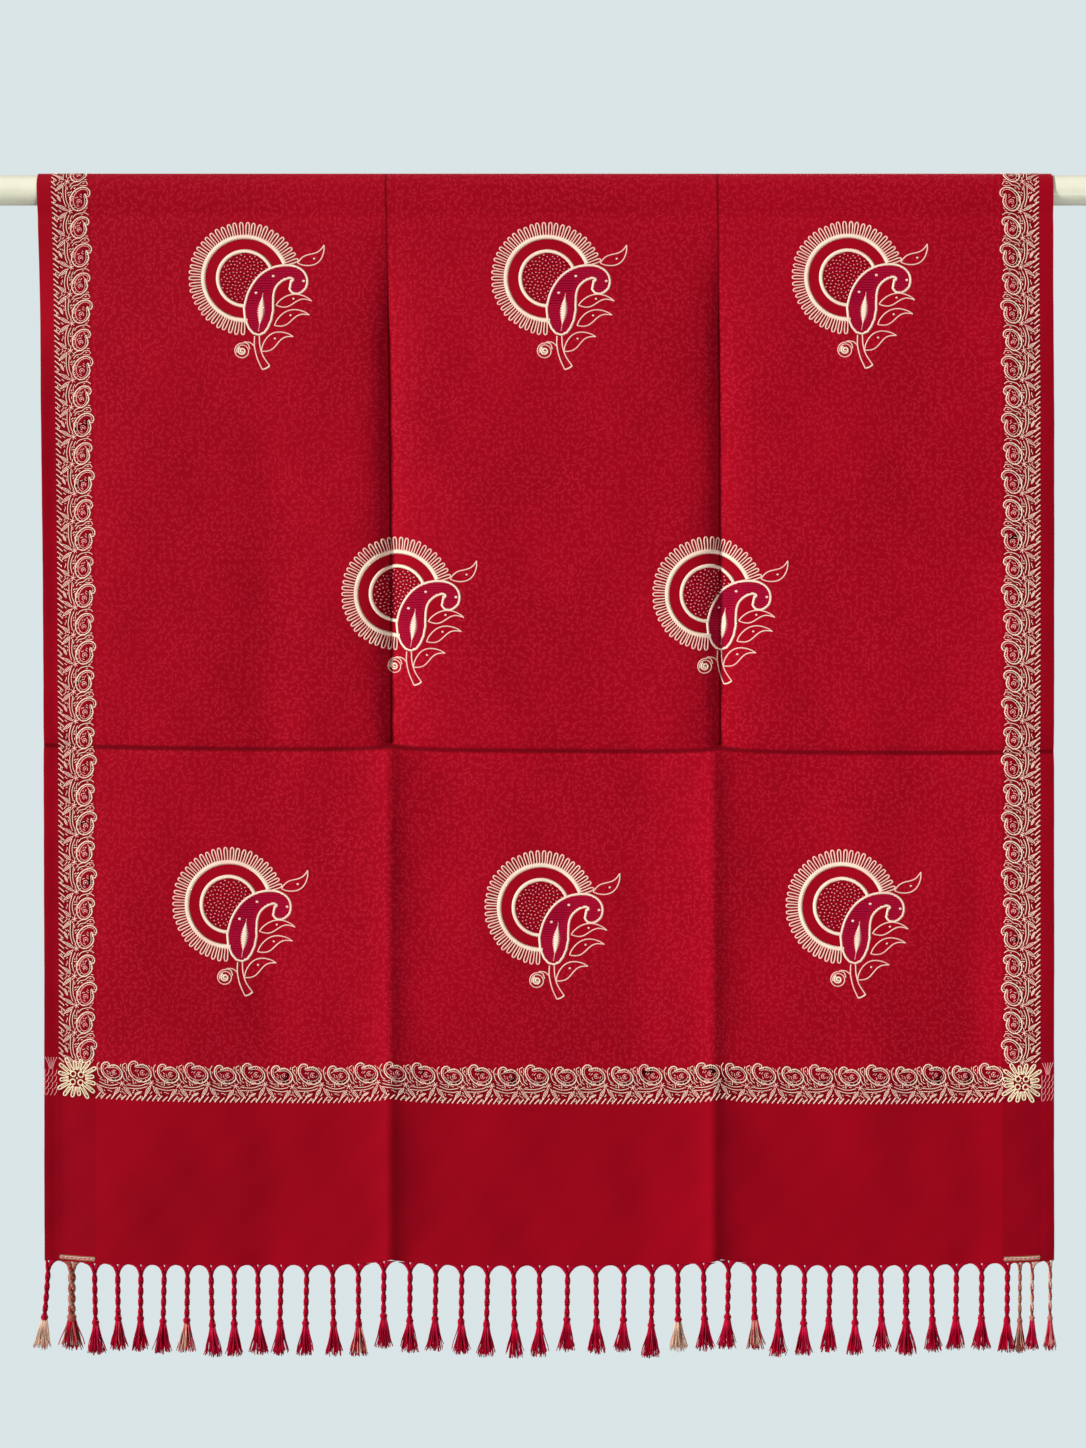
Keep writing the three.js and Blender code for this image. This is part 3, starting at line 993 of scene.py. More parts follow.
@dataclass
class Finish:
    """The shared shader node groups, built once."""

    groups: dict[str, NodeTree] = field(init=False)

    def __post_init__(self) -> None:
        """Builds every group."""
        self.groups = {made.name: made for made in (self.twill(), self.mottle(), self.leaf_scatter())}

    def twill(self) -> NodeTree:
        """Builds the twill weave, fine slanting ribs that are a little uneven, and returns it; its Shade
        output is painted shade, darker in the grooves and lighter on the ribs.
        """
        graph, given, output = new_tree("twill_weave", "Shader", {"Vector": "Vector", "Pitch": "Float"},
                                        {"Height": "Float", "Shade": "Float"})
        x, y, _ = graph.split(given["Vector"])
        wander = graph.noise(given["Vector"], 0.35)
        rib = ((x + y * 0.9) / given["Pitch"] * math.tau + wander * 5.0).math("SINE")
        cross = ((y - x * 0.15) / given["Pitch"] * (math.tau * 1.3)).math("SINE")
        height = rib * 0.35 + cross * 0.15 + 0.5
        # Painted shade: the colour is darker in the grooves and lighter on the rib tops.
        graph.fill(output, {"Height": height, "Shade": height * 0.12 + 0.94})
        return graph.tree

    def mottle(self) -> NodeTree:
        """Builds the unevenness of dyed yarn, a fine heather and broad soft clouds, and returns it."""
        graph, given, output = new_tree("yarn_mottle", "Shader",
                                        {"Vector": "Vector", "Fine": "Float", "Amount": "Float"},
                                        {"Shade": "Float", "Cloud": "Float"})
        fine = graph.noise(given["Vector"], given["Fine"], 3.0)
        graph.fill(output, {"Shade": (fine - 0.5) * given["Amount"] + 1.0,
                            "Cloud": graph.noise(given["Vector"], 0.006)})
        return graph.tree

    def leaf_scatter(self) -> NodeTree:
        """Builds scattered small leaves, one to a cell and each turned its own way, and returns them."""
        graph, given, output = new_tree(
            "leaf_scatter", "Shader",
            {"Vector": "Vector", "Cell": "Float", "Length": "Float", "Width": "Float", "Bend": "Float"},
            {"Mask": "Float"})
        scaled = graph.scale(given["Vector"], given["Cell"].math("POWER", -1.0))
        cell = graph.node("ShaderNodeTexVoronoi", {"Vector": scaled, "Scale": 1.0, "Randomness": 0.85},
                          voronoi_dimensions="2D")
        offset = graph.vector("SUBTRACT", scaled, cell.outputs["Position"])
        x, y, _ = graph.split(graph.scale(offset, given["Cell"]))
        turn = graph.split(cell.outputs["Color"])[0] * math.tau
        cosine, sine = turn.math("COSINE"), turn.math("SINE")
        run = x * cosine + y * sine
        side = y * cosine - x * sine
        reach = (run / given["Length"]).math("ABSOLUTE")
        bent = (side + (run * run / given["Length"]) * given["Bend"]).math("ABSOLUTE")
        edge = (1.0 - reach * reach) * given["Width"] - bent
        graph.fill(output, {"Mask": edge.rise(-0.5, 0.6) * reach.rise(1.1, 0.8)})
        return graph.tree

    def use(self, graph: Graph, name: str, inputs: dict) -> dict[str, Field]:
        """Places one of the groups in a material's graph and returns its outputs by name."""
        made = graph.node("ShaderNodeGroup", inputs, node_tree=self.groups[name])
        return {socket.name: Field(graph, socket) for socket in made.outputs}


def fresh_graph(owner: ID) -> Graph:
    """Empties the node tree of a material or world and returns its graph."""
    owner.use_nodes = True
    owner.node_tree.nodes.clear()
    return Graph(owner.node_tree)


def new_material(name: str) -> tuple[Material, Graph, Node]:
    """Makes an empty node material.

    Args:
        name: its name.

    Returns:
        The material, its graph and its Principled shader.
    """
    material = bpy.data.materials.new(name)
    graph = fresh_graph(material)
    shader = graph.node("ShaderNodeBsdfPrincipled")
    graph.node("ShaderNodeOutputMaterial", {0: shader.outputs[0]})
    return material, graph, shader


@dataclass(frozen=True)
class ClothFinish:
    """The red wool twill with its tone-on-tone leaf ground."""

    form: ShawlForm
    ground: Colour = (0.37, 0.0012, 0.0105, 1.0)
    leaf: Colour = (0.50, 0.009, 0.03, 1.0)
    band: Colour = (0.26, 0.0008, 0.0085, 1.0)
    shadow: Colour = (0.31, 0.0009, 0.0085, 1.0)
    # Painted shade: the colour that darkens the cloth along its creases.
    shaded_creases: Colour = (0.16, 0.0003, 0.004, 1.0)
    gap: Colour = (0.16, 0.0006, 0.006, 1.0)
    leaves: tuple[dict[str, float], ...] = (
        {"Cell": 5.8, "Length": 2.7, "Width": 1.05, "Bend": 0.35},
        {"Cell": 7.2, "Length": 3.2, "Width": 0.75, "Bend": -0.6},
    )
    leaf_shift: Triple = (31.0, 17.0, 0.0)
    leaf_least: float = 0.3
    twill_pitch: float = 1.15
    border_inner: float = 457.5
    border_outer: float = 496.0
    end_border_top: float = 197.0
    end_border_foot: float = 159.0
    scallop: float = 7.0
    edge_soft: float = 1.5
    bow_height: float = 6.0
    bow_reach: float = 130.0
    band_share: float = 0.5
    panel_share: float = 0.06
    gap_share: float = 0.65
    # How much painted crease shade is mixed in; cross_line and long_line below set the widths of its lines.
    crease_shade_share: float = 0.9
    cross_line: Point = (3.8, 1.0)
    long_line: Point = (1.9, 0.3)
    roughness: float = 0.7
    leaf_gloss: float = 0.14
    sheen: float = 0.16
    sheen_roughness: float = 0.4
    sheen_tint: Colour = (1.0, 0.1, 0.18, 1.0)
    specular: float = 0.22
    specular_tint: Colour = (1.0, 0.12, 0.2, 1.0)
    leaf_height: float = 0.8
    bump_size: float = 0.00022

    def make(self, finish: Finish) -> Material:
        """Builds the material from the shared groups and returns it."""
        material, graph, shader = new_material("wool_twill")
        x, y, _ = graph.split(graph.field("ShaderNodeUVMap", uv_map="flat"))
        across = (x - 0.5) * self.form.width
        along = y * self.form.length
        place = graph.join(across, along)
        from_middle = across.math("ABSOLUTE")
        from_end = (along - self.form.length / 2.0).math("ABSOLUTE")
        leaves = self.leaf_mask(finish, place, from_middle, from_end)
        twill = finish.use(graph, "twill_weave", {"Vector": place, "Pitch": self.twill_pitch})
        mottle = finish.use(graph, "yarn_mottle", {"Vector": place, "Fine": 0.55, "Amount": 0.30})
        colour = graph.mix(mottle["Cloud"].rise(0.35, 0.65) * 0.6, self.ground, self.shadow)
        bow = ((across + self.form.width / 2.0) / -self.bow_reach).math("EXPONENT") * self.bow_height
        from_border = self.form.length / 2.0 - from_end - bow
        colour = self.bordered(colour, from_middle, from_border)
        colour = graph.mix(leaves * (graph.noise(place, 0.02) * (1.0 - self.leaf_least) + self.leaf_least),
                           colour, self.leaf)
        # Painted shade: the cloth is darkened along the crease lines.
        colour = graph.mix(self.crease_shade_mask(across, from_end) * self.crease_shade_share, colour, self.shaded_creases)
        graph.fill(shader, {
            # The twill's Shade is painted shade in its grooves; the mottle's Shade is the yarn's uneven
            # tone.
            "Base Color": graph.shaded(colour, mottle["Shade"] * twill["Shade"]),
            "Roughness": self.roughness - leaves * self.leaf_gloss,
            "Sheen Weight": self.sheen, "Sheen Roughness": self.sheen_roughness,
            "Sheen Tint": self.sheen_tint, "Specular IOR Level": self.specular,
            "Specular Tint": self.specular_tint,
            "Normal": graph.bump(twill["Height"] + leaves * self.leaf_height, self.bump_size, 0.8)})
        return material

    def leaf_mask(self, finish: Finish, place: Field, from_middle: Field, from_end: Field) -> Field:
        """Finds the leaf ground, which ends at the borders and leaves a plain disc under each motif.

        Args:
            finish: the shared groups.
            place: the flat place on the cloth.
            from_middle: how far it is from the middle line.
            from_end: how far it is from the middle of the length.

        Returns:
            1 on a leaf and 0 beside it.
        """
        graph = place.graph
        spots = (place, graph.vector("ADD", place, self.leaf_shift))
        masks = [finish.use(graph, "leaf_scatter", {"Vector": spot, **sizes})["Mask"]
                 for spot, sizes in zip(spots, self.leaves)]
        field_end = self.form.length / 2.0 - self.end_border_top
        in_field = from_middle.rise(self.border_inner, self.border_inner - self.edge_soft)
        in_field = in_field * from_end.rise(field_end, field_end - 2.0)
        return masks[0].math("MAXIMUM", masks[1]) * in_field * (1.0 - graph.attribute("plain"))

    def bordered(self, colour: Field, from_middle: Field, from_border: Field) -> Field:
        """Darkens the ground of the borders and the end panels.

        Args:
            colour: the cloth's colour so far.
            from_middle: how far the place is from the middle line.
            from_border: how far it is from the hem, less the end border's bow.

        Returns:
            The new colour.
        """
        graph, soft = colour.graph, self.edge_soft
        outside = from_middle.rise(self.border_outer, self.border_outer - soft)
        lobes = self.border_inner + self.scallop
        foot, top = self.end_border_foot, self.end_border_top
        side_gap = from_middle.rise(lobes - soft, lobes) * outside * from_border.rise(top - 1.0, top)
        end_gap = from_border.between(foot, top - self.scallop, soft) * outside
        in_band = from_middle.between(self.border_inner - 0.5, self.border_outer + 0.5, 1.0)
        panel = from_border.rise(foot + 2.0, foot)
        colour = graph.mix(in_band * self.band_share, colour, self.band)
        colour = graph.mix(panel * self.panel_share, colour, self.band)
        return graph.mix(side_gap.math("MAXIMUM", end_gap) * self.gap_share, colour, self.gap)

    def crease_shade_mask(self, across: Field, from_end: Field) -> Field:
        """Finds where shade is painted along the creases: the crease across, and the others above it.

        Args:
            across: the place across the cloth.
            from_end: how far it is from the middle of the length.

        Returns:
            1 on a line and 0 beside it.
        """
        to_cross = from_end - self.form.length / 4.0 - across * self.form.cross_tilt
        shaded_creases = to_cross.math("ABSOLUTE").rise(*self.cross_line)
        for crease in self.form.creases:
            line = (across - crease.across).math("ABSOLUTE").rise(*self.long_line) * to_cross.rise(2.0, -2.0)
            shaded_creases = shaded_creases.math("MAXIMUM", line)
        return shaded_creases


@dataclass(frozen=True)
class ThreadFinish:
    """The brocade thread, tinted by each stroke's yarn."""

    cream: Colour = (1.0, 0.77, 0.59, 1.0)
    pink: Colour = (0.92, 0.29, 0.33, 1.0)
    gold: Colour = (1.0, 0.83, 0.56, 1.0)
    magenta: Colour = (0.47, 0.006, 0.045, 1.0)
    olive: Colour = (0.31, 0.20, 0.10, 1.0)
    shade: Colour = (0.245, 0.001, 0.0095, 1.0)
    wear: float = 0.22
    roughness: float = 0.6
    specular: float = 0.3
    sheen: float = 0.15
    sheen_roughness: float = 0.4
    bump_size: float = 0.00025

    def make(self, finish: Finish) -> Material:
        """Builds the material from the shared groups and returns it."""
        material, graph, shader = new_material("brocade_thread")
        tint = graph.attribute("tint")
        place = graph.place()
        mottle = finish.use(graph, "yarn_mottle", {"Vector": place, "Fine": 0.9, "Amount": 0.55})
        worn = graph.noise(place, 0.045).rise(0.45, 0.7) * self.wear
        colour = graph.mix((tint + worn).math("MINIMUM", 1.0).math("MAXIMUM", 0.0), self.cream, self.pink)
        colour = graph.mix(tint.rise(0.0, -0.5), colour, self.gold)
        for yarn, dye in ((Yarn.MAGENTA, self.magenta), (Yarn.OLIVE, self.olive), (Yarn.SHADE, self.shade)):
            colour = graph.mix(tint.rise(yarn.value - 0.6, yarn.value - 0.4), colour, dye)
        colour = graph.shaded(colour, mottle["Shade"])
        graph.fill(shader, {
            "Base Color": colour, "Roughness": self.roughness, "Specular Tint": colour, "Sheen Tint": colour,
            "Specular IOR Level": self.specular, "Sheen Weight": self.sheen,
            "Sheen Roughness": self.sheen_roughness,
            "Normal": graph.bump(graph.noise(place, 2.6), self.bump_size, 0.7)})
        return material


@dataclass(frozen=True)
class FringeFinish:
    """The twisted yarn of the fringe: red, with cream and khaki in a few tassels, and a painted highlight on
    some threads of the tufts.
    """

    red: Colour = (0.43, 0.002, 0.022, 1.0)
    painted_highlight: Colour = (0.62, 0.016, 0.075, 1.0)
    cream: Colour = (0.80, 0.52, 0.38, 1.0)
    khaki: Colour = (0.29, 0.18, 0.10, 1.0)
    roughness: float = 0.5
    sheen: float = 0.3
    sheen_roughness: float = 0.35
    strands: float = 3.0
    bump_size: float = 0.0004

    def make(self, finish: Finish) -> Material:
        """Builds the material from the shared groups and returns it."""
        material, graph, shader = new_material("fringe_yarn")
        x, y, z = graph.split(graph.attribute("lie", "Vector"))
        place = graph.place()
        mottle = finish.use(graph, "yarn_mottle", {"Vector": place, "Fine": 0.5, "Amount": 0.5})
        strand = (x * (math.tau * self.strands) + y * 2.6).math("SINE") * 0.5 + 0.5
        fleck = graph.noise(place, 0.8, 1.0)
        # Painted highlight: threads whose last lie value is high are painted brighter.
        colour = graph.mix(z.rise(0.72, 1.0) * 0.75, self.red, self.painted_highlight)
        colour = graph.mix(graph.attribute("khaki") * fleck.rise(0.35, 0.55), colour, self.khaki)
        colour = graph.mix(graph.attribute("cream"), colour, self.cream)
        colour = graph.shaded(colour, mottle["Shade"] * (strand * 0.3 + 0.8))
        graph.fill(shader, {
            "Base Color": colour, "Roughness": self.roughness, "Sheen Weight": self.sheen,
            "Sheen Roughness": self.sheen_roughness, "Sheen Tint": colour, "Specular Tint": colour,
            "Normal": graph.bump(strand, self.bump_size, 0.8)})
        return material


@dataclass(frozen=True)
class PaintFinish:
    """The rod's cream gloss paint, with brush marks and a little grime."""

    paint: Colour = (0.90, 0.87, 0.67, 1.0)
    aged: Colour = (0.78, 0.70, 0.48, 1.0)
    roughness: float = 0.22
    streak_stretch: Triple = (0.012, 0.5, 0.5)
    coat: float = 0.3
    coat_roughness: float = 0.2
    bump_size: float = 0.00018

    def make(self, finish: Finish) -> Material:
        """Builds the material from the shared groups and returns it."""
        material, graph, shader = new_material("cream_paint")
        place = graph.place()
        mottle = finish.use(graph, "yarn_mottle", {"Vector": place, "Fine": 0.05, "Amount": 0.14})
        streak = graph.noise(graph.vector("MULTIPLY", place, self.streak_stretch), 1.0, 4.0)
        colour = graph.mix(streak.rise(0.5, 0.75) * 0.45, self.paint, self.aged)
        graph.fill(shader, {
            "Base Color": graph.shaded(colour, mottle["Shade"]), "Roughness": streak * 0.2 + self.roughness,
            "Coat Weight": self.coat, "Coat Roughness": self.coat_roughness,
            "Normal": graph.bump(graph.noise(place, 0.4, 1.0) + streak * 0.6, self.bump_size, 0.5)})
        return material


def link(
    name: str,
    data: ID,
    location: Sequence[float] = (0.0, 0.0, 0.0),
    turn: Sequence[float] = (0.0, 0.0, 0.0),
) -> Object:
    """Puts a mesh, camera or lamp in the scene, a mesh at the origin, and returns its object."""
    made = bpy.data.objects.new(name, data)
    made.location = location
    made.rotation_euler = turn
    bpy.context.scene.collection.objects.link(made)
    return made


def new_mesh(name: str, points: object, edges: object = (), faces: object = ()) -> Mesh:
    """Makes a mesh from points in millimetres and returns it."""
    mesh = bpy.data.meshes.new(name)
    mesh.from_pydata(np.asarray(points) * MM, list(edges), list(faces))
    return mesh


def write_attribute(mesh: Mesh, name: str, values: Array, kind: str = "FLOAT") -> None:
    """Stores values on a mesh's points under a name."""
    layer = mesh.attributes.new(name, kind, "POINT")
    layer.data.foreach_set("vector" if kind == VECTOR else "value", np.asarray(values, np.float32).ravel())


def grid_faces(numbers: Array) -> Array:
    """Returns the four corners of each face between neighbours in a grid of point numbers."""
    corners = [numbers[:-1, :-1], numbers[:-1, 1:], numbers[1:, 1:], numbers[1:, :-1]]
    return np.stack(corners, axis=-1).reshape(-1, 4)


def finish_mesh(mesh: Mesh, material: Material, sharp: float) -> None:
    """Gives a mesh its material and smooth faces, with edges sharp above an angle in degrees."""
    mesh.materials.append(material)
    mesh.shade_smooth()
    mesh.set_sharp_from_angle(angle=math.radians(sharp))


@dataclass
class Cloth:
    """The hung cloth: its laying surface for brocade, and its closed shell."""

    form: ShawlForm
    motifs: Sequence[Place]
    clear_radius: float
    fine: float = 2.2
    coarse: float = 11.0
    growth: float = 0.15
    clear_soft: float = 6.0

    def grid(self) -> tuple[Array, Array]:
        """Returns the flat places of the grid, as two arrays with a row for each place along the cloth."""
        form = self.form
        edge = form.width / 2.0
        shaded_creases = {crease.across + shift for crease in form.creases for shift in (0.0, crease.ridge_shift)}
        columns = graded([-edge, *sorted(shaded_creases), edge], self.fine, self.coarse, self.growth)
        rows = graded([-form.hem_reach, form.length / 4.0, form.front_drop - form.dip_drop, form.front_drop,
                       form.turn_end, form.turn_end + form.dip_drop, form.length * 3.0 / 4.0,
                       form.length + form.hem_reach], self.fine, self.coarse, self.growth)
        return np.meshgrid(columns, rows)

    def laying_sheet(self, across: Array, along: Array) -> Object:
        """Makes the outer surface alone, with its flat map and outward directions.

        Args:
            across: places of the grid across the cloth.
            along: places along it.

        Returns:
            A scratch object that the brocade is laid on.
        """
        normal = self.form.outward(across, along)
        points = self.form.surface(across, along) + normal * self.form.wall / 2.0
        faces = grid_faces(np.arange(across.size).reshape(across.shape))
        mesh = new_mesh("laying_sheet", points.reshape(-1, 3), faces=faces.tolist())
        self.write_flat_map(mesh, across.ravel(), along.ravel())
        write_attribute(mesh, "outward", normal.reshape(-1, 3), VECTOR)
        return link("laying_sheet", mesh)

    def write_flat_map(self, mesh: Mesh, across: Array, along: Array) -> None:
        """Stores each point's flat place as the UV map "flat", 0 to 1 over the cloth."""
        corner = np.empty(len(mesh.loops), np.int64)
        mesh.loops.foreach_get("vertex_index", corner)
        flat = np.stack([across[corner] / self.form.width + 0.5, along[corner] / self.form.length], axis=1)
        mesh.uv_layers.new(name="flat").data.foreach_set("uv", flat.astype(np.float32).ravel())

    def shell(self, across: Array, along: Array, material: Material) -> Object:
        """Makes the cloth as one closed shell.

        Args:
            across: places of the grid across the cloth.
            along: places along it.
            material: its finish.

        Returns:
            The cloth.
        """
        middle = self.form.surface(across, along)
        half_wall = self.form.outward(across, along) * self.form.wall / 2.0
        points = np.vstack([(middle + half_wall).reshape(-1, 3), (middle - half_wall).reshape(-1, 3)])
        front = np.arange(across.size).reshape(across.shape)
        back = front + across.size
        faces = [grid_faces(front), np.roll(grid_faces(back)[:, ::-1], 1, axis=1)]
        for rim, under in ((front[0], back[0]), (front[::-1, 0], back[::-1, 0]),
                           (front[-1, ::-1], back[-1, ::-1]), (front[:, -1], back[:, -1])):
            faces.append(np.stack([rim[:-1], under[:-1], under[1:], rim[1:]], axis=-1))
        mesh = new_mesh("shawl_cloth", points, faces=np.vstack(faces).tolist())
        flat_across, flat_along = np.tile(across.ravel(), 2), np.tile(along.ravel(), 2)
        self.write_flat_map(mesh, flat_across, flat_along)
        near = np.min([np.hypot(flat_across - spot.across, flat_along - spot.along)
                       for spot in self.motifs], axis=0)
        plain = smoothstep(near, self.clear_radius + self.clear_soft, self.clear_radius - self.clear_soft)
        write_attribute(mesh, "plain", plain)
        finish_mesh(mesh, material, 60.0)
        return link("shawl_cloth", mesh)


@dataclass
class Brocade:
    """Lays flat drawings on the cloth as raised threads."""

    form: ShawlForm
    sheet: Object
    clearance: float = 0.1
    crown: float = 0.42
    shade_sunk: float = 0.7
    tree: NodeTree = field(init=False)

    def __post_init__(self) -> None:
        """Builds the Geometry Nodes tree that repeats a drawing, gives it body and lays it on the cloth."""
        graph, given, output = new_tree("lay_brocade", "Geometry", {
            "Drawing": "Geometry", "Places": "Object", "Cloth": "Object", "Cloth Width": "Float",
            "Cloth Length": "Float", "Clearance": "Float", "Crown": "Float", "Thread": "Material",
        }, {"Brocade": "Geometry"})
        copies = graph.field("GeometryNodeInstanceOnPoints", {
            "Points": graph.field("GeometryNodeObjectInfo", {"Object": given["Places"]}, "Geometry"),
            "Instance": given["Drawing"], "Rotation": graph.join(0.0, 0.0, graph.stored("turn")),
            "Scale": graph.join(graph.stored("flip"), 1.0, 1.0)})
        drawn = graph.field("GeometryNodeRealizeInstances", {0: copies})
        lines = graph.field("GeometryNodeMeshToCurve", {0: drawn})
        upright = graph.field("GeometryNodeSetCurveNormal", {0: lines}, mode="Z_UP")
        section = graph.field("GeometryNodeCurveQuadraticBezier", {
            "Resolution": 2, "Start": (-1.0, 0.0, 0.0), "Middle": (0.0, 1.2, 0.0), "End": (1.0, 0.0, 0.0)})
        ring = graph.field("GeometryNodeSetSplineCyclic", {0: section, "Cyclic": True})
        body = graph.field("GeometryNodeCurveToMesh", {
            "Curve": upright, "Profile Curve": ring, "Scale": graph.stored("half_width"), "Fill Caps": True})
        position = graph.field("GeometryNodeInputPosition")
        x, y, z = graph.split(position)
        low = Yarn.SHADE.value
        crown = (1.0 - graph.stored("tint").rise(low - 0.6, low - 0.4) * self.shade_sunk) * given["Crown"]
        height = z.math("ABSOLUTE").math("MINIMUM", crown) + given["Clearance"]
        flat = graph.join(x / given["Cloth Width"] + 0.5, y / given["Cloth Length"])
        cloth = graph.field("GeometryNodeObjectInfo", {"Object": given["Cloth"]}, "Geometry")
        place, away = [
            graph.field("GeometryNodeSampleUVSurface", {
                "Mesh": cloth, "Value": value, "UV Map": graph.stored("flat", VECTOR), "Sample UV": flat},
                data_type=VECTOR)
            for value in (position, graph.stored("outward", VECTOR))
        ]
        laid = graph.field("GeometryNodeSetPosition", {
            "Geometry": body, "Position": graph.vector("ADD", place, graph.scale(away, height))})
        self.tree = graph.close(laid, given["Thread"], output)

    def drawing(self, name: str, book: StrokeBook) -> Object:
        """Makes a flat drawing of loose lines from a book of strokes.

        Args:
            name: the object's name.
            book: the strokes.

        Returns:
            A scratch object with a line for each stroke.
        """
        strokes, edges, first = book.strokes, [], 0
        for stroke in strokes:
            after = first + len(stroke.points)
            edges.extend((i, i + 1) for i in range(first, after - 1))
            if stroke.closed:
                edges.append((after - 1, first))
            first = after
        flat = np.vstack([stroke.points for stroke in strokes])
        mesh = new_mesh(name, np.column_stack([flat, np.zeros(len(flat))]), edges)
        write_attribute(mesh, "half_width", np.concatenate([stroke.half_width for stroke in strokes]) * MM)
        tint = [np.full(len(stroke.points), stroke.yarn.value) for stroke in strokes]
        write_attribute(mesh, "tint", np.concatenate(tint))
        return link(name, mesh)

    def spots(self, name: str, places: Sequence[Place]) -> Object:
        """Makes the points where a drawing is repeated and returns them as a scratch object."""
        mesh = new_mesh(name, [(place.across, place.along, 0.0) for place in places])
        write_attribute(mesh, "turn", np.radians([place.turn for place in places]))
        write_attribute(mesh, "flip", [-1.0 if place.flip else 1.0 for place in places])
        return link(name, mesh)

    def lay(self, name: str, book: StrokeBook, places: Sequence[Place], thread: Material
            ) -> Object:
        """Lays a drawing on the cloth at each of its places.

        Args:
            name: the piece's name.
            book: the drawing.
            places: where it goes.
            thread: its finish.

        Returns:
            The piece, as a plain mesh.
        """
        drawing = self.drawing(name + "_drawing", book)
        spots = self.spots(name + "_spots", places)
        piece = apply_tree(name, drawing, self.tree, {
            "Places": spots, "Cloth": self.sheet, "Cloth Width": self.form.width * MM,
            "Cloth Length": self.form.length * MM, "Clearance": self.clearance * MM,
            "Crown": self.crown * MM, "Thread": thread})
        bpy.data.objects.remove(spots)
        return piece


def apply_tree(name: str, source: Object, tree: NodeTree, values: dict) -> Object:
    """Runs a Geometry Nodes tree on an object and keeps the result as a plain mesh.

    Args:
        name: the new piece's name.
        source: the object that the tree starts from; it is removed.
        tree: the tree.
        values: the tree's inputs by label.

    Returns:
        The new piece.
    """
    modifier = source.modifiers.new("make", "NODES")
    modifier.node_group = tree
    for item in tree.interface.items_tree:
        if item.in_out == "INPUT" and item.name in values:
            modifier[item.identifier] = values[item.name]
    source.update_tag()
    evaluated = source.evaluated_get(bpy.context.evaluated_depsgraph_get())
    mesh = bpy.data.meshes.new_from_object(evaluated)
    source.modifiers.remove(modifier)
    bpy.data.objects.remove(source)
    mesh.name = name
    return link(name, mesh)


@dataclass(frozen=True)
class TasselRun:
    """How a run of tassels is spaced along the hem, and whether they are tied closely together."""

    count: int
    pitch: float
    crowded: bool = False


@dataclass(frozen=True)
class TasselDye:
    """Which share of a tassel's cord and tuft is cream or khaki, and how stout its cord is."""

    cord_cream: float = 0.0
    cord_khaki: float = 0.0
    tuft_cream: float = 0.0
    tuft_khaki: float = 0.0
    stout: float = 1.0


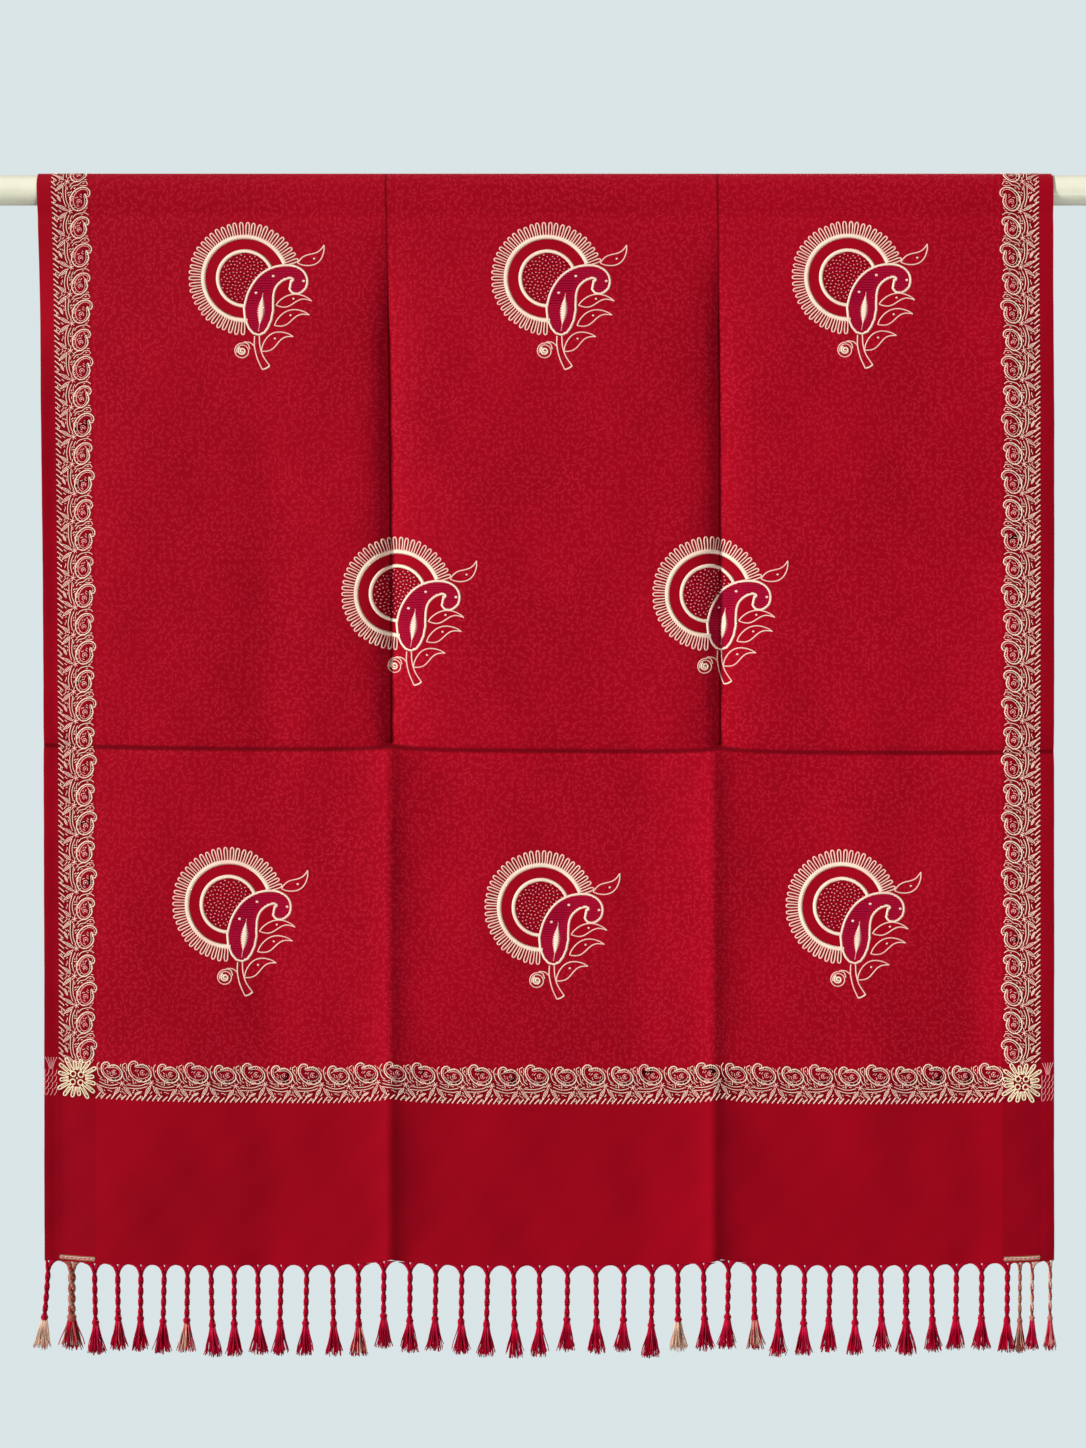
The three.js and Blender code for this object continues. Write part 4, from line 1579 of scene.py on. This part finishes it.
@dataclass
class Fringe:
    """The knotted tassels along both hems."""

    form: ShawlForm
    first: float = -506.0
    runs: tuple[TasselRun, ...] = (
        TasselRun(10, 23.5), TasselRun(10, 26.1), TasselRun(4, 28.5), TasselRun(14, 25.6),
        TasselRun(2, 12.5, True), TasselRun(1, 18.6, True),
    )
    cord: float = 55.5
    tuft: float = 31.0
    first_lean: float = -7.0
    threads: int = 62
    cord_half: float = 3.0
    ply_share: float = 0.66
    root_half: float = 0.55
    twist_pitch: float = 21.0
    knot_halves: Triple = (3.7, 3.5, 4.3)
    dyes: dict[int, TasselDye] = field(default_factory=lambda: {
        0: TasselDye(0, 0, 0.95, 0.1),
        1: TasselDye(0.15, 0.75, 0.12, 0.35, 1.4),
        6: TasselDye(0, 0, 0.55, 0),
        13: TasselDye(0, 0, 0.5, 0),
        25: TasselDye(0, 0, 0.96, 0),
        28: TasselDye(0, 0, 0.5, 0),
        34: TasselDye(stout=1.22),
        39: TasselDye(0.1, 0.9, 0.1, 0.85),
        40: TasselDye(0.45, 0.5, 0, 0.1),
        41: TasselDye(0.4, 0.45, 0.45, 0.5),
    })
    tree: NodeTree = field(init=False)

    def places(self) -> tuple[Array, Array]:
        """Returns where the tassels hang across the cloth, and whether each is crowded."""
        across, crowded = [self.first], [False]
        for run in self.runs:
            for _ in range(run.count):
                across.append(across[-1] + run.pitch)
                crowded.append(run.crowded)
        return np.array(across), np.array(crowded)

    def hem_points(self, side: Side) -> Object:
        """Makes one point at each tassel's root.

        Args:
            side: which hem.

        Returns:
            A scratch object whose points carry the tassels' sizes and dyes.
        """
        across, crowded = self.places()
        count = len(across)
        drop = self.form.side_drop(side) + self.form.hem_reach
        roots = self.form.hanging(side, across, np.full(count, drop))
        edge = self.form.width / 2.0
        cuts = np.concatenate([[-edge], (across[:-1] + across[1:]) / 2.0, [edge]])
        rng = np.random.default_rng(11 if side is Side.FRONT else 12)
        mesh = new_mesh("hem_points", roots)
        dyes = [self.dyes.get(index, TasselDye()) for index in range(count)]
        lean = np.where(crowded, rng.uniform(-0.8, 0.8, count), rng.uniform(-2.2, 2.2, count))
        lean[0] = self.first_lean if side is Side.FRONT else -lean[0]
        columns = {
            "left": np.maximum(across - cuts[:-1], 2.6),
            "right": np.maximum(cuts[1:] - across, 2.6),
            "cord": self.cord + rng.uniform(-4.5, 2.5, count),
            "lean": lean,
            "slim": np.where(crowded, 0.68, [dye.stout for dye in dyes]),
            "spin": rng.uniform(0.0, math.tau, count),
            "seed": rng.uniform(0.0, 1.0, count),
            **{name: [getattr(dye, name) for dye in dyes]
               for name in ("cord_cream", "cord_khaki", "tuft_cream", "tuft_khaki")},
        }
        for name, values in columns.items():
            write_attribute(mesh, name, values)
        return link("hem_points", mesh)

    def repeat(self, points: Field, copies: object, shape: object) -> Field:
        """Puts copies of a shape on every root point.

        Args:
            points: the root points.
            copies: how many for each.
            shape: the geometry to copy.

        Returns:
            Real geometry; its points know their place in the shape, their root, copy and random numbers.
        """
        graph = points.graph
        position = graph.field("GeometryNodeInputPosition")
        many = graph.node("GeometryNodeDuplicateElements", {"Geometry": points, "Amount": copies},
                          domain="POINT")
        kept = graph.store(many.outputs[0], "copy", many.outputs["Duplicate Index"])
        kept = graph.store(kept, "root", position, VECTOR)
        index = graph.field("GeometryNodeInputIndex")
        for number, seed in (("chance_a", 3), ("chance_b", 5), ("chance_c", 8)):
            inputs = {"Seed": seed, "ID": index}
            chance = graph.field("FunctionNodeRandomValue", inputs, 1, data_type="FLOAT")
            kept = graph.store(kept, number, chance)
        own = graph.store(shape, "local", position, VECTOR)
        placed = graph.field("GeometryNodeInstanceOnPoints", {"Points": kept, "Instance": own})
        return graph.field("GeometryNodeRealizeInstances", {0: placed})

    def settle(self, geometry: Field, x: object, y: object, z: object) -> Field:
        """Moves points to millimetre offsets from their roots and returns the geometry."""
        graph = geometry.graph
        offset = graph.scale(graph.join(x, y, z), MM)
        moved = graph.vector("ADD", graph.stored("root", VECTOR), offset)
        return graph.field("GeometryNodeSetPosition", {"Geometry": geometry, "Position": moved})

    def dyed(self, geometry: Field, lie: Field, cream: object, khaki: object) -> Field:
        """Stores how the yarn lies, with the share of painted highlight as its last value, and what it is
        dyed with, and returns the geometry.
        """
        graph = geometry.graph
        lain = graph.store(geometry, "lie", lie, VECTOR)
        return graph.store(graph.store(lain, "cream", cream), "khaki", khaki)

    def sway(self, drop: Field) -> Field:
        """Returns how far a tassel has strayed sideways at a drop below the hem."""
        share = (drop / (self.cord + self.tuft)).math("POWER", 1.3)
        return share * drop.graph.stored("lean")

    def plies(self, points: Field) -> Field:
        """Makes the two plies of each cord, from their flat roots in the hem to the knot.

        Args:
            points: the root points.

        Returns:
            The plies.
        """
        graph, own = points.graph, points.graph.stored
        tube = graph.node("GeometryNodeMeshCylinder", {
            "Vertices": 8, "Side Segments": 26, "Fill Segments": 1, "Radius": 1.0, "Depth": 1.0})
        made = self.repeat(points, 2, tube.outputs["Mesh"])
        across, deep, down = graph.split(own("local", VECTOR))
        hand = own("copy") * 2.0 - 1.0
        half_pitch = (own("left") * (1.0 - own("copy"))
                      + own("right") * own("copy"))
        slim = own("slim")
        cord_half = slim * self.cord_half
        share = (0.5 - down).math("MAXIMUM", 0.0)
        drop = share.math("POWER", 1.45) * (own("cord") + 2.0) - 0.4
        arch = (half_pitch - cord_half).math("MAXIMUM", 0.3)
        up = (1.0 - drop / arch).math("MINIMUM", 1.0).math("MAXIMUM", 0.0)
        reach = half_pitch - arch * (1.0 - up * up).math("MAXIMUM", 0.0).math("SQRT")
        gap = (drop.math("MAXIMUM", 0.0) * -0.3).math("EXPONENT") * 1.6 - 0.8
        centre = (reach + gap) * 0.5
        wide = (reach - gap) * 0.5
        rounded = drop.rise(0.0, 9.0)
        thick = rounded * (cord_half * self.ply_share - self.root_half) + self.root_half
        twist = (drop - 5.0).math("MAXIMUM", 0.0) * (math.tau / self.twist_pitch)
        off = hand * centre + wide * across
        cosine, sine = twist.math("COSINE"), twist.math("SINE")
        side = off * cosine - thick * deep * sine + self.sway(drop)
        out = off * sine + thick * deep * cosine
        made = self.settle(made, side, out, drop * -1.0)
        around = deep.math("ARCTAN2", across) / math.tau
        lie = graph.join(around, drop, own("chance_a") * 0.7)
        return self.dyed(made, lie, own("cord_cream") * own("copy") * 1.4, own("cord_khaki"))

    def knots(self, points: Field) -> Field:
        """Makes the knot under each cord.

        Args:
            points: the root points.

        Returns:
            The knots.
        """
        graph, own = points.graph, points.graph.stored
        ball = graph.node("GeometryNodeMeshUVSphere", {"Segments": 12, "Rings": 9, "Radius": 1.0})
        made = self.repeat(points, 1, ball.outputs["Mesh"])
        across, deep, up = graph.split(own("local", VECTOR))
        around = deep.math("ARCTAN2", across)
        wrap = (around * 2.0 + up * 5.0 + own("spin")).math("SINE")
        size = (wrap * 0.06 + 1.0) * own("slim").math("POWER", 0.7)
        drop = own("cord") + 2.6
        wide, thick, high = self.knot_halves
        side = across * size * wide + self.sway(drop)
        made = self.settle(made, side, deep * size * thick, up * size * high - drop)
        lie = graph.join(around / math.tau, up * 4.0, 0.3)
        return self.dyed(made, lie, own("cord_cream") * 0.6, own("cord_khaki") * 0.6)

    def tufts(self, points: Field, threads: object) -> Field:
        """Makes the loose threads below each knot.

        Args:
            points: the root points.
            threads: how many for each tassel.

        Returns:
            The threads.
        """
        graph, own = points.graph, points.graph.stored
        thread = graph.node("GeometryNodeMeshCylinder", {
            "Vertices": 3, "Side Segments": 4, "Fill Segments": 1, "Radius": 1.0, "Depth": 1.0})
        made = self.repeat(points, threads, thread.outputs["Mesh"])
        across, deep, down = graph.split(own("local", VECTOR))
        share = (0.5 - down).math("MAXIMUM", 0.0)
        angle = own("chance_a") * math.tau
        ring = own("chance_b").math("SQRT")
        slim = own("slim")
        long = (own("chance_c") * 0.2 + 0.82) * self.tuft
        spread = share.math("POWER", 1.15)
        wave = (share * 6.0 + own("chance_c") * 40.0).math("SINE") * share
        side = angle.math("COSINE") * ring * (spread * 7.1 + 2.6) * slim + wave * 0.7
        out = angle.math("SINE") * ring * (spread * 2.6 + 2.4) * slim + wave * 0.4
        drop = own("cord") + 4.2 + share * long - ring * ring * share * 1.8
        thick = (share * -0.2 + 0.72) * slim.math("POWER", 0.5)
        made = self.settle(made, side + across * thick + self.sway(drop),
                           out + deep * thick, drop * -1.0)
        # The last value picks which threads get the painted highlight.
        lie = graph.join(share * 0.2, share * 2.0, own("chance_b"))
        partly = (own("tuft_cream") - 0.5).rise(0.1, -0.1)
        cream = (own("tuft_cream") - own("chance_c")).rise(-0.02, 0.02) * (1.0 - partly * (1.0 - share))
        return self.dyed(made, lie, cream, (own("tuft_khaki") - own("chance_a")).rise(-0.02, 0.02))

    def __post_init__(self) -> None:
        """Builds the Geometry Nodes tree that makes every tassel from its root point."""
        graph, given, output = new_tree(
            "knotted_fringe", "Geometry", {"Roots": "Geometry", "Threads": "Int", "Yarn": "Material"},
            {"Fringe": "Geometry"})
        points = graph.field("GeometryNodeMeshToPoints", {"Mesh": given["Roots"]})
        whole = graph.node("GeometryNodeJoinGeometry")
        for part in (self.plies(points), self.knots(points), self.tufts(points, given["Threads"])):
            graph.fill(whole, {0: part})
        self.tree = graph.close(whole.outputs[0], given["Yarn"], output)

    def make(self, name: str, side: Side, yarn: Material) -> Object:
        """Makes the tassels of one hem and returns them as a plain mesh."""
        return apply_tree(name, self.hem_points(side), self.tree, {"Threads": self.threads, "Yarn": yarn})


@dataclass(frozen=True)
class RodPole:
    """The plain round pole that the shawl hangs on."""

    radius: float = 15.0
    length: float = 1200.0
    chamfer: float = 1.2
    sides: int = 96
    rings: int = 24
    end_inset: float = 40.0

    def make(self, paint: Material) -> Object:
        """Makes the pole with eased ends, and returns it."""
        half, eased = self.length / 2.0, self.chamfer * 0.3
        end = [(-half, self.radius - self.chamfer), (-half + eased, self.radius - eased),
               (-half + self.chamfer, self.radius)]
        stations = np.linspace(-half + self.end_inset, half - self.end_inset, self.rings)
        profile = [*end, *((x, self.radius) for x in stations), *((-x, r) for x, r in reversed(end))]
        angles = np.linspace(0.0, math.tau, self.sides, endpoint=False)
        points = [(-half, 0.0, 0.0)]
        for x, radius in profile:
            points.extend((x, radius * math.cos(a), radius * math.sin(a)) for a in angles)
        points.append((half, 0.0, 0.0))
        last = len(points) - 1 - self.sides
        faces = []
        for i in range(self.sides):
            j = (i + 1) % self.sides
            faces.append((0, 1 + j, 1 + i))
            for ring in range(1, last, self.sides):
                after = ring + self.sides
                faces.append((ring + i, ring + j, after + j, after + i))
            faces.append((last + i, last + j, len(points) - 1))
        mesh = new_mesh("rod_pole", points, faces=faces)
        finish_mesh(mesh, paint, 50.0)
        return link("rod_pole", mesh)


@dataclass(frozen=True)
class PatternPlan:
    """Where each drawing goes on the flat cloth."""

    form: ShawlForm
    border_middle: float = 476.8
    hatch_middle: float = 503.2
    hem_bar_middle: float = 2.2
    end_border_middle: float = 178.0
    end_border_half: float = 458.4
    skew: float = 6.0
    skew_reach: float = 130.0
    front_motifs: tuple[Point, ...] = (
        (-302.3, 985.5), (1.6, 985.5), (303.5, 986.5),
        (-151.8, 668.5), (161.6, 668.5),
        (-323, 359), (-8.3, 356), (295.5, 357),
    )
    back_motifs: tuple[Point, ...] = (
        (-150, 1381), (163, 1381), (-318, 1692), (-4, 1693), (300, 1692),
    )

    def bow(self, across: float) -> float:
        """Returns how far the end border strays along the cloth towards its left edge."""
        return self.skew * math.exp(-(self.form.width / 2.0 + across) / self.skew_reach)

    def motifs(self) -> list[Place]:
        """Returns the places of all the sun motifs; those on the back drop hang upright from behind."""
        return [*(Place(x, y) for x, y in self.front_motifs),
                *(Place(x, y, 180.0) for x, y in self.back_motifs)]

    def side_border(self, left: bool, repeat: BorderRepeat) -> list[Place]:
        """Returns the places of one side border's repeats, from the front end border to the back one."""
        start = self.end_border_middle + repeat.width / 2.0 + 1.0
        room = self.form.length - 2.0 * start
        count = round(room / repeat.length)
        outer = self.border_middle + repeat.width / 2.0
        return [Place(-outer if left else outer, start + room * index / count, flip=not left)
                for index in range(count)]

    def end_border(self, side: Side, repeat: BorderRepeat) -> list[Place]:
        """Places the repeats of one end border, its lobes towards the field.

        Args:
            side: which end.
            repeat: the repeat's sizes.

        Returns:
            Their places.
        """
        count = round(2.0 * self.end_border_half / repeat.length)
        step = 2.0 * self.end_border_half / count
        places = []
        for index in range(count):
            across = self.end_border_half - step * index
            slope = math.degrees((self.bow(across) - self.bow(across - step)) / step)
            outer = self.end_border_middle - repeat.width / 2.0
            if side is Side.FRONT:
                places.append(Place(across, outer + self.bow(across), 90.0 + slope))
            else:
                places.append(Place(-across, self.form.length - outer - self.bow(-across), -90.0))
        return places

    def corners(self, off_middle: float, off_end: float, skewed: bool = True) -> list[Place]:
        """Places a drawing near each corner of the cloth.

        Args:
            off_middle: how far it lies from the middle line.
            off_end: how far it lies from the hem.
            skewed: whether it strays with the end border.

        Returns:
            Its four places.
        """
        places = []
        for across in (-off_middle, off_middle):
            stray = self.bow(across) if skewed else 0.0
            places.append(Place(across, off_end + stray))
            places.append(Place(across, self.form.length - off_end - stray, 180.0))
        return places


@dataclass
class Shawl:
    """The whole shawl on its rod."""

    form: ShawlForm = field(default_factory=ShawlForm)
    finish: Finish = field(default_factory=Finish)
    body: str = "root"

    def make(self) -> None:
        """Builds every piece, dresses it and ties it to the frame."""
        wool = ClothFinish(self.form).make(self.finish)
        thread = ThreadFinish().make(self.finish)
        yarn = FringeFinish().make(self.finish)
        paint = PaintFinish().make(self.finish)
        plan = PatternPlan(self.form)
        motif = SunMotif()
        cloth_maker = Cloth(self.form, plan.motifs(), motif.clear_radius)
        across, along = cloth_maker.grid()
        sheet = cloth_maker.laying_sheet(across, along)
        cloth = cloth_maker.shell(across, along, wool)
        brocade = self.make_brocade(plan, motif, sheet, thread)
        bpy.data.objects.remove(sheet)
        fringe_maker = Fringe(self.form)
        front = fringe_maker.make("front_tassels", Side.FRONT, yarn)
        back = fringe_maker.make("back_tassels", Side.BACK, yarn)
        pole = RodPole().make(paint)
        for piece, slot in ((cloth, "cloth"), (front, "fringe"), (back, "fringe"), (pole, "rod"),
                            *[(part, "cloth") for part in brocade]):
            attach(piece, self.body)
            LOG.info("%s: %d faces", piece.name, len(piece.data.polygons))
        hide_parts("front_drop", "rod_turn", "back_drop")
        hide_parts("front_fringe")
        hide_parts("back_fringe")
        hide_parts("rod")

    def make_brocade(self, plan: PatternPlan, motif: SunMotif, sheet: Object,
                     thread: Material) -> list[Object]:
        """Lays all the woven drawings on the cloth.

        Args:
            plan: where they go.
            motif: the sun motif.
            sheet: the cloth's outer surface.
            thread: their finish.

        Returns:
            The pieces.
        """
        brocade = Brocade(self.form, sheet)
        repeat = BorderRepeat()
        border = repeat.draw()
        end_places = [*plan.end_border(Side.FRONT, repeat), *plan.end_border(Side.BACK, repeat)]
        middle = plan.border_middle
        drawings = (
            ("sun_motifs", motif.draw(np.random.default_rng(4)), plan.motifs()),
            ("left_border", border, plan.side_border(True, repeat)),
            ("right_border", border, plan.side_border(False, repeat)),
            ("end_borders", border, end_places),
            ("corner_blocks", CornerBlock().draw(), plan.corners(middle, plan.end_border_middle)),
            ("selvedge_hatch", SelvedgeHatch().draw(),
             plan.corners(plan.hatch_middle, plan.end_border_middle)),
            ("hem_bars", HemBar().draw(), plan.corners(middle, plan.hem_bar_middle, False)),
        )
        return [brocade.lay(name, book, places, thread) for name, book, places in drawings]


@dataclass(frozen=True)
class Sun:
    """A broad parallel light: its name, where it shines from, and its strength."""

    name: str
    toward: Triple
    strength: float


@dataclass(frozen=True)
class Studio:
    """The plain pale floor, the soft light and the camera at the photograph's angle."""

    picture: tuple[int, int] = (1086, 1448)
    millimetres_per_pixel: float = 1.0
    front_plane: float = -24.0
    centre: Point = (-2.0, -538.5)
    distance: float = 2600.0
    sensor: float = 36.0
    clip_end: float = 50.0
    floor_level: float = -1540.0
    floor_half: float = 900.0
    floor_colour: Colour = (0.72, 0.76, 0.78, 1.0)
    floor_roughness: float = 0.8
    wall: Colour = (0.70, 0.78, 0.80, 1.0)
    ambient: float = 0.35
    softness: float = 14.0
    lamp_distance: float = 2.0
    suns: tuple[Sun, ...] = (
        Sun("key_light", (-1.8, -1.0, 0.8), 4.0),
        Sun("fill_light", (0.5, -1.0, -0.8), 0.72),
        Sun("back_light", (0.7, 1.0, 0.7), 1.6),
    )

    def make(self) -> None:
        """Sets up the stage, the light and the camera."""
        self.make_camera()
        self.make_floor()
        self.make_world()
        for sun in self.suns:
            self.make_sun(sun)
        bpy.context.scene.view_settings.view_transform = "Standard"

    def make_camera(self) -> None:
        """Places the camera square to the cloth, so that a pixel covers a millimetre of it."""
        camera = bpy.data.cameras.new("camera")
        camera.sensor_width = self.sensor
        camera.lens = self.sensor * self.distance / (self.picture[1] * self.millimetres_per_pixel)
        camera.clip_end = self.clip_end
        location = (self.centre[0] * MM, (self.front_plane - self.distance) * MM, self.centre[1] * MM)
        bpy.context.scene.camera = link("camera", camera, location, (math.pi / 2.0, 0.0, 0.0))

    def make_floor(self) -> None:
        """Lays a plain pale floor below the shawl."""
        corners = [(x * self.floor_half, y * self.floor_half, self.floor_level)
                   for x, y in ((-1, -1), (1, -1), (1, 1), (-1, 1))]
        mesh = new_mesh("floor", corners, faces=[(0, 1, 2, 3)])
        material, graph, shader = new_material("pale_floor")
        graph.fill(shader, {"Base Color": self.floor_colour, "Roughness": self.floor_roughness})
        mesh.materials.append(material)
        link("floor", mesh)

    def make_world(self) -> None:
        """Shows a pale wall colour behind the shawl, and lights it evenly and more softly than the lamps."""
        world = bpy.data.worlds.new("pale_room")
        graph = fresh_graph(world)
        seen = graph.field("ShaderNodeBackground", {"Color": self.wall, "Strength": 1.0})
        lit = graph.field("ShaderNodeBackground", {"Color": self.wall, "Strength": self.ambient})
        path = graph.field("ShaderNodeLightPath", output="Is Camera Ray")
        mixed = graph.field("ShaderNodeMixShader", {0: path, 1: lit, 2: seen})
        graph.node("ShaderNodeOutputWorld", {"Surface": mixed})
        bpy.context.scene.world = world

    def make_sun(self, sun: Sun) -> None:
        """Adds one of the lights."""
        lamp = bpy.data.lights.new(sun.name, "SUN")
        lamp.energy = sun.strength
        lamp.angle = math.radians(self.softness)
        toward = Vector(sun.toward)
        link(sun.name, lamp, toward * self.lamp_distance, (-toward).to_track_quat("-Z", "Y").to_euler())


def main() -> None:
    """Builds the shawl and its studio."""
    logging.basicConfig(level=logging.INFO, format="%(name)s: %(message)s")
    Shawl().make()
    Studio().make()


if __name__ == "__main__":
    main()
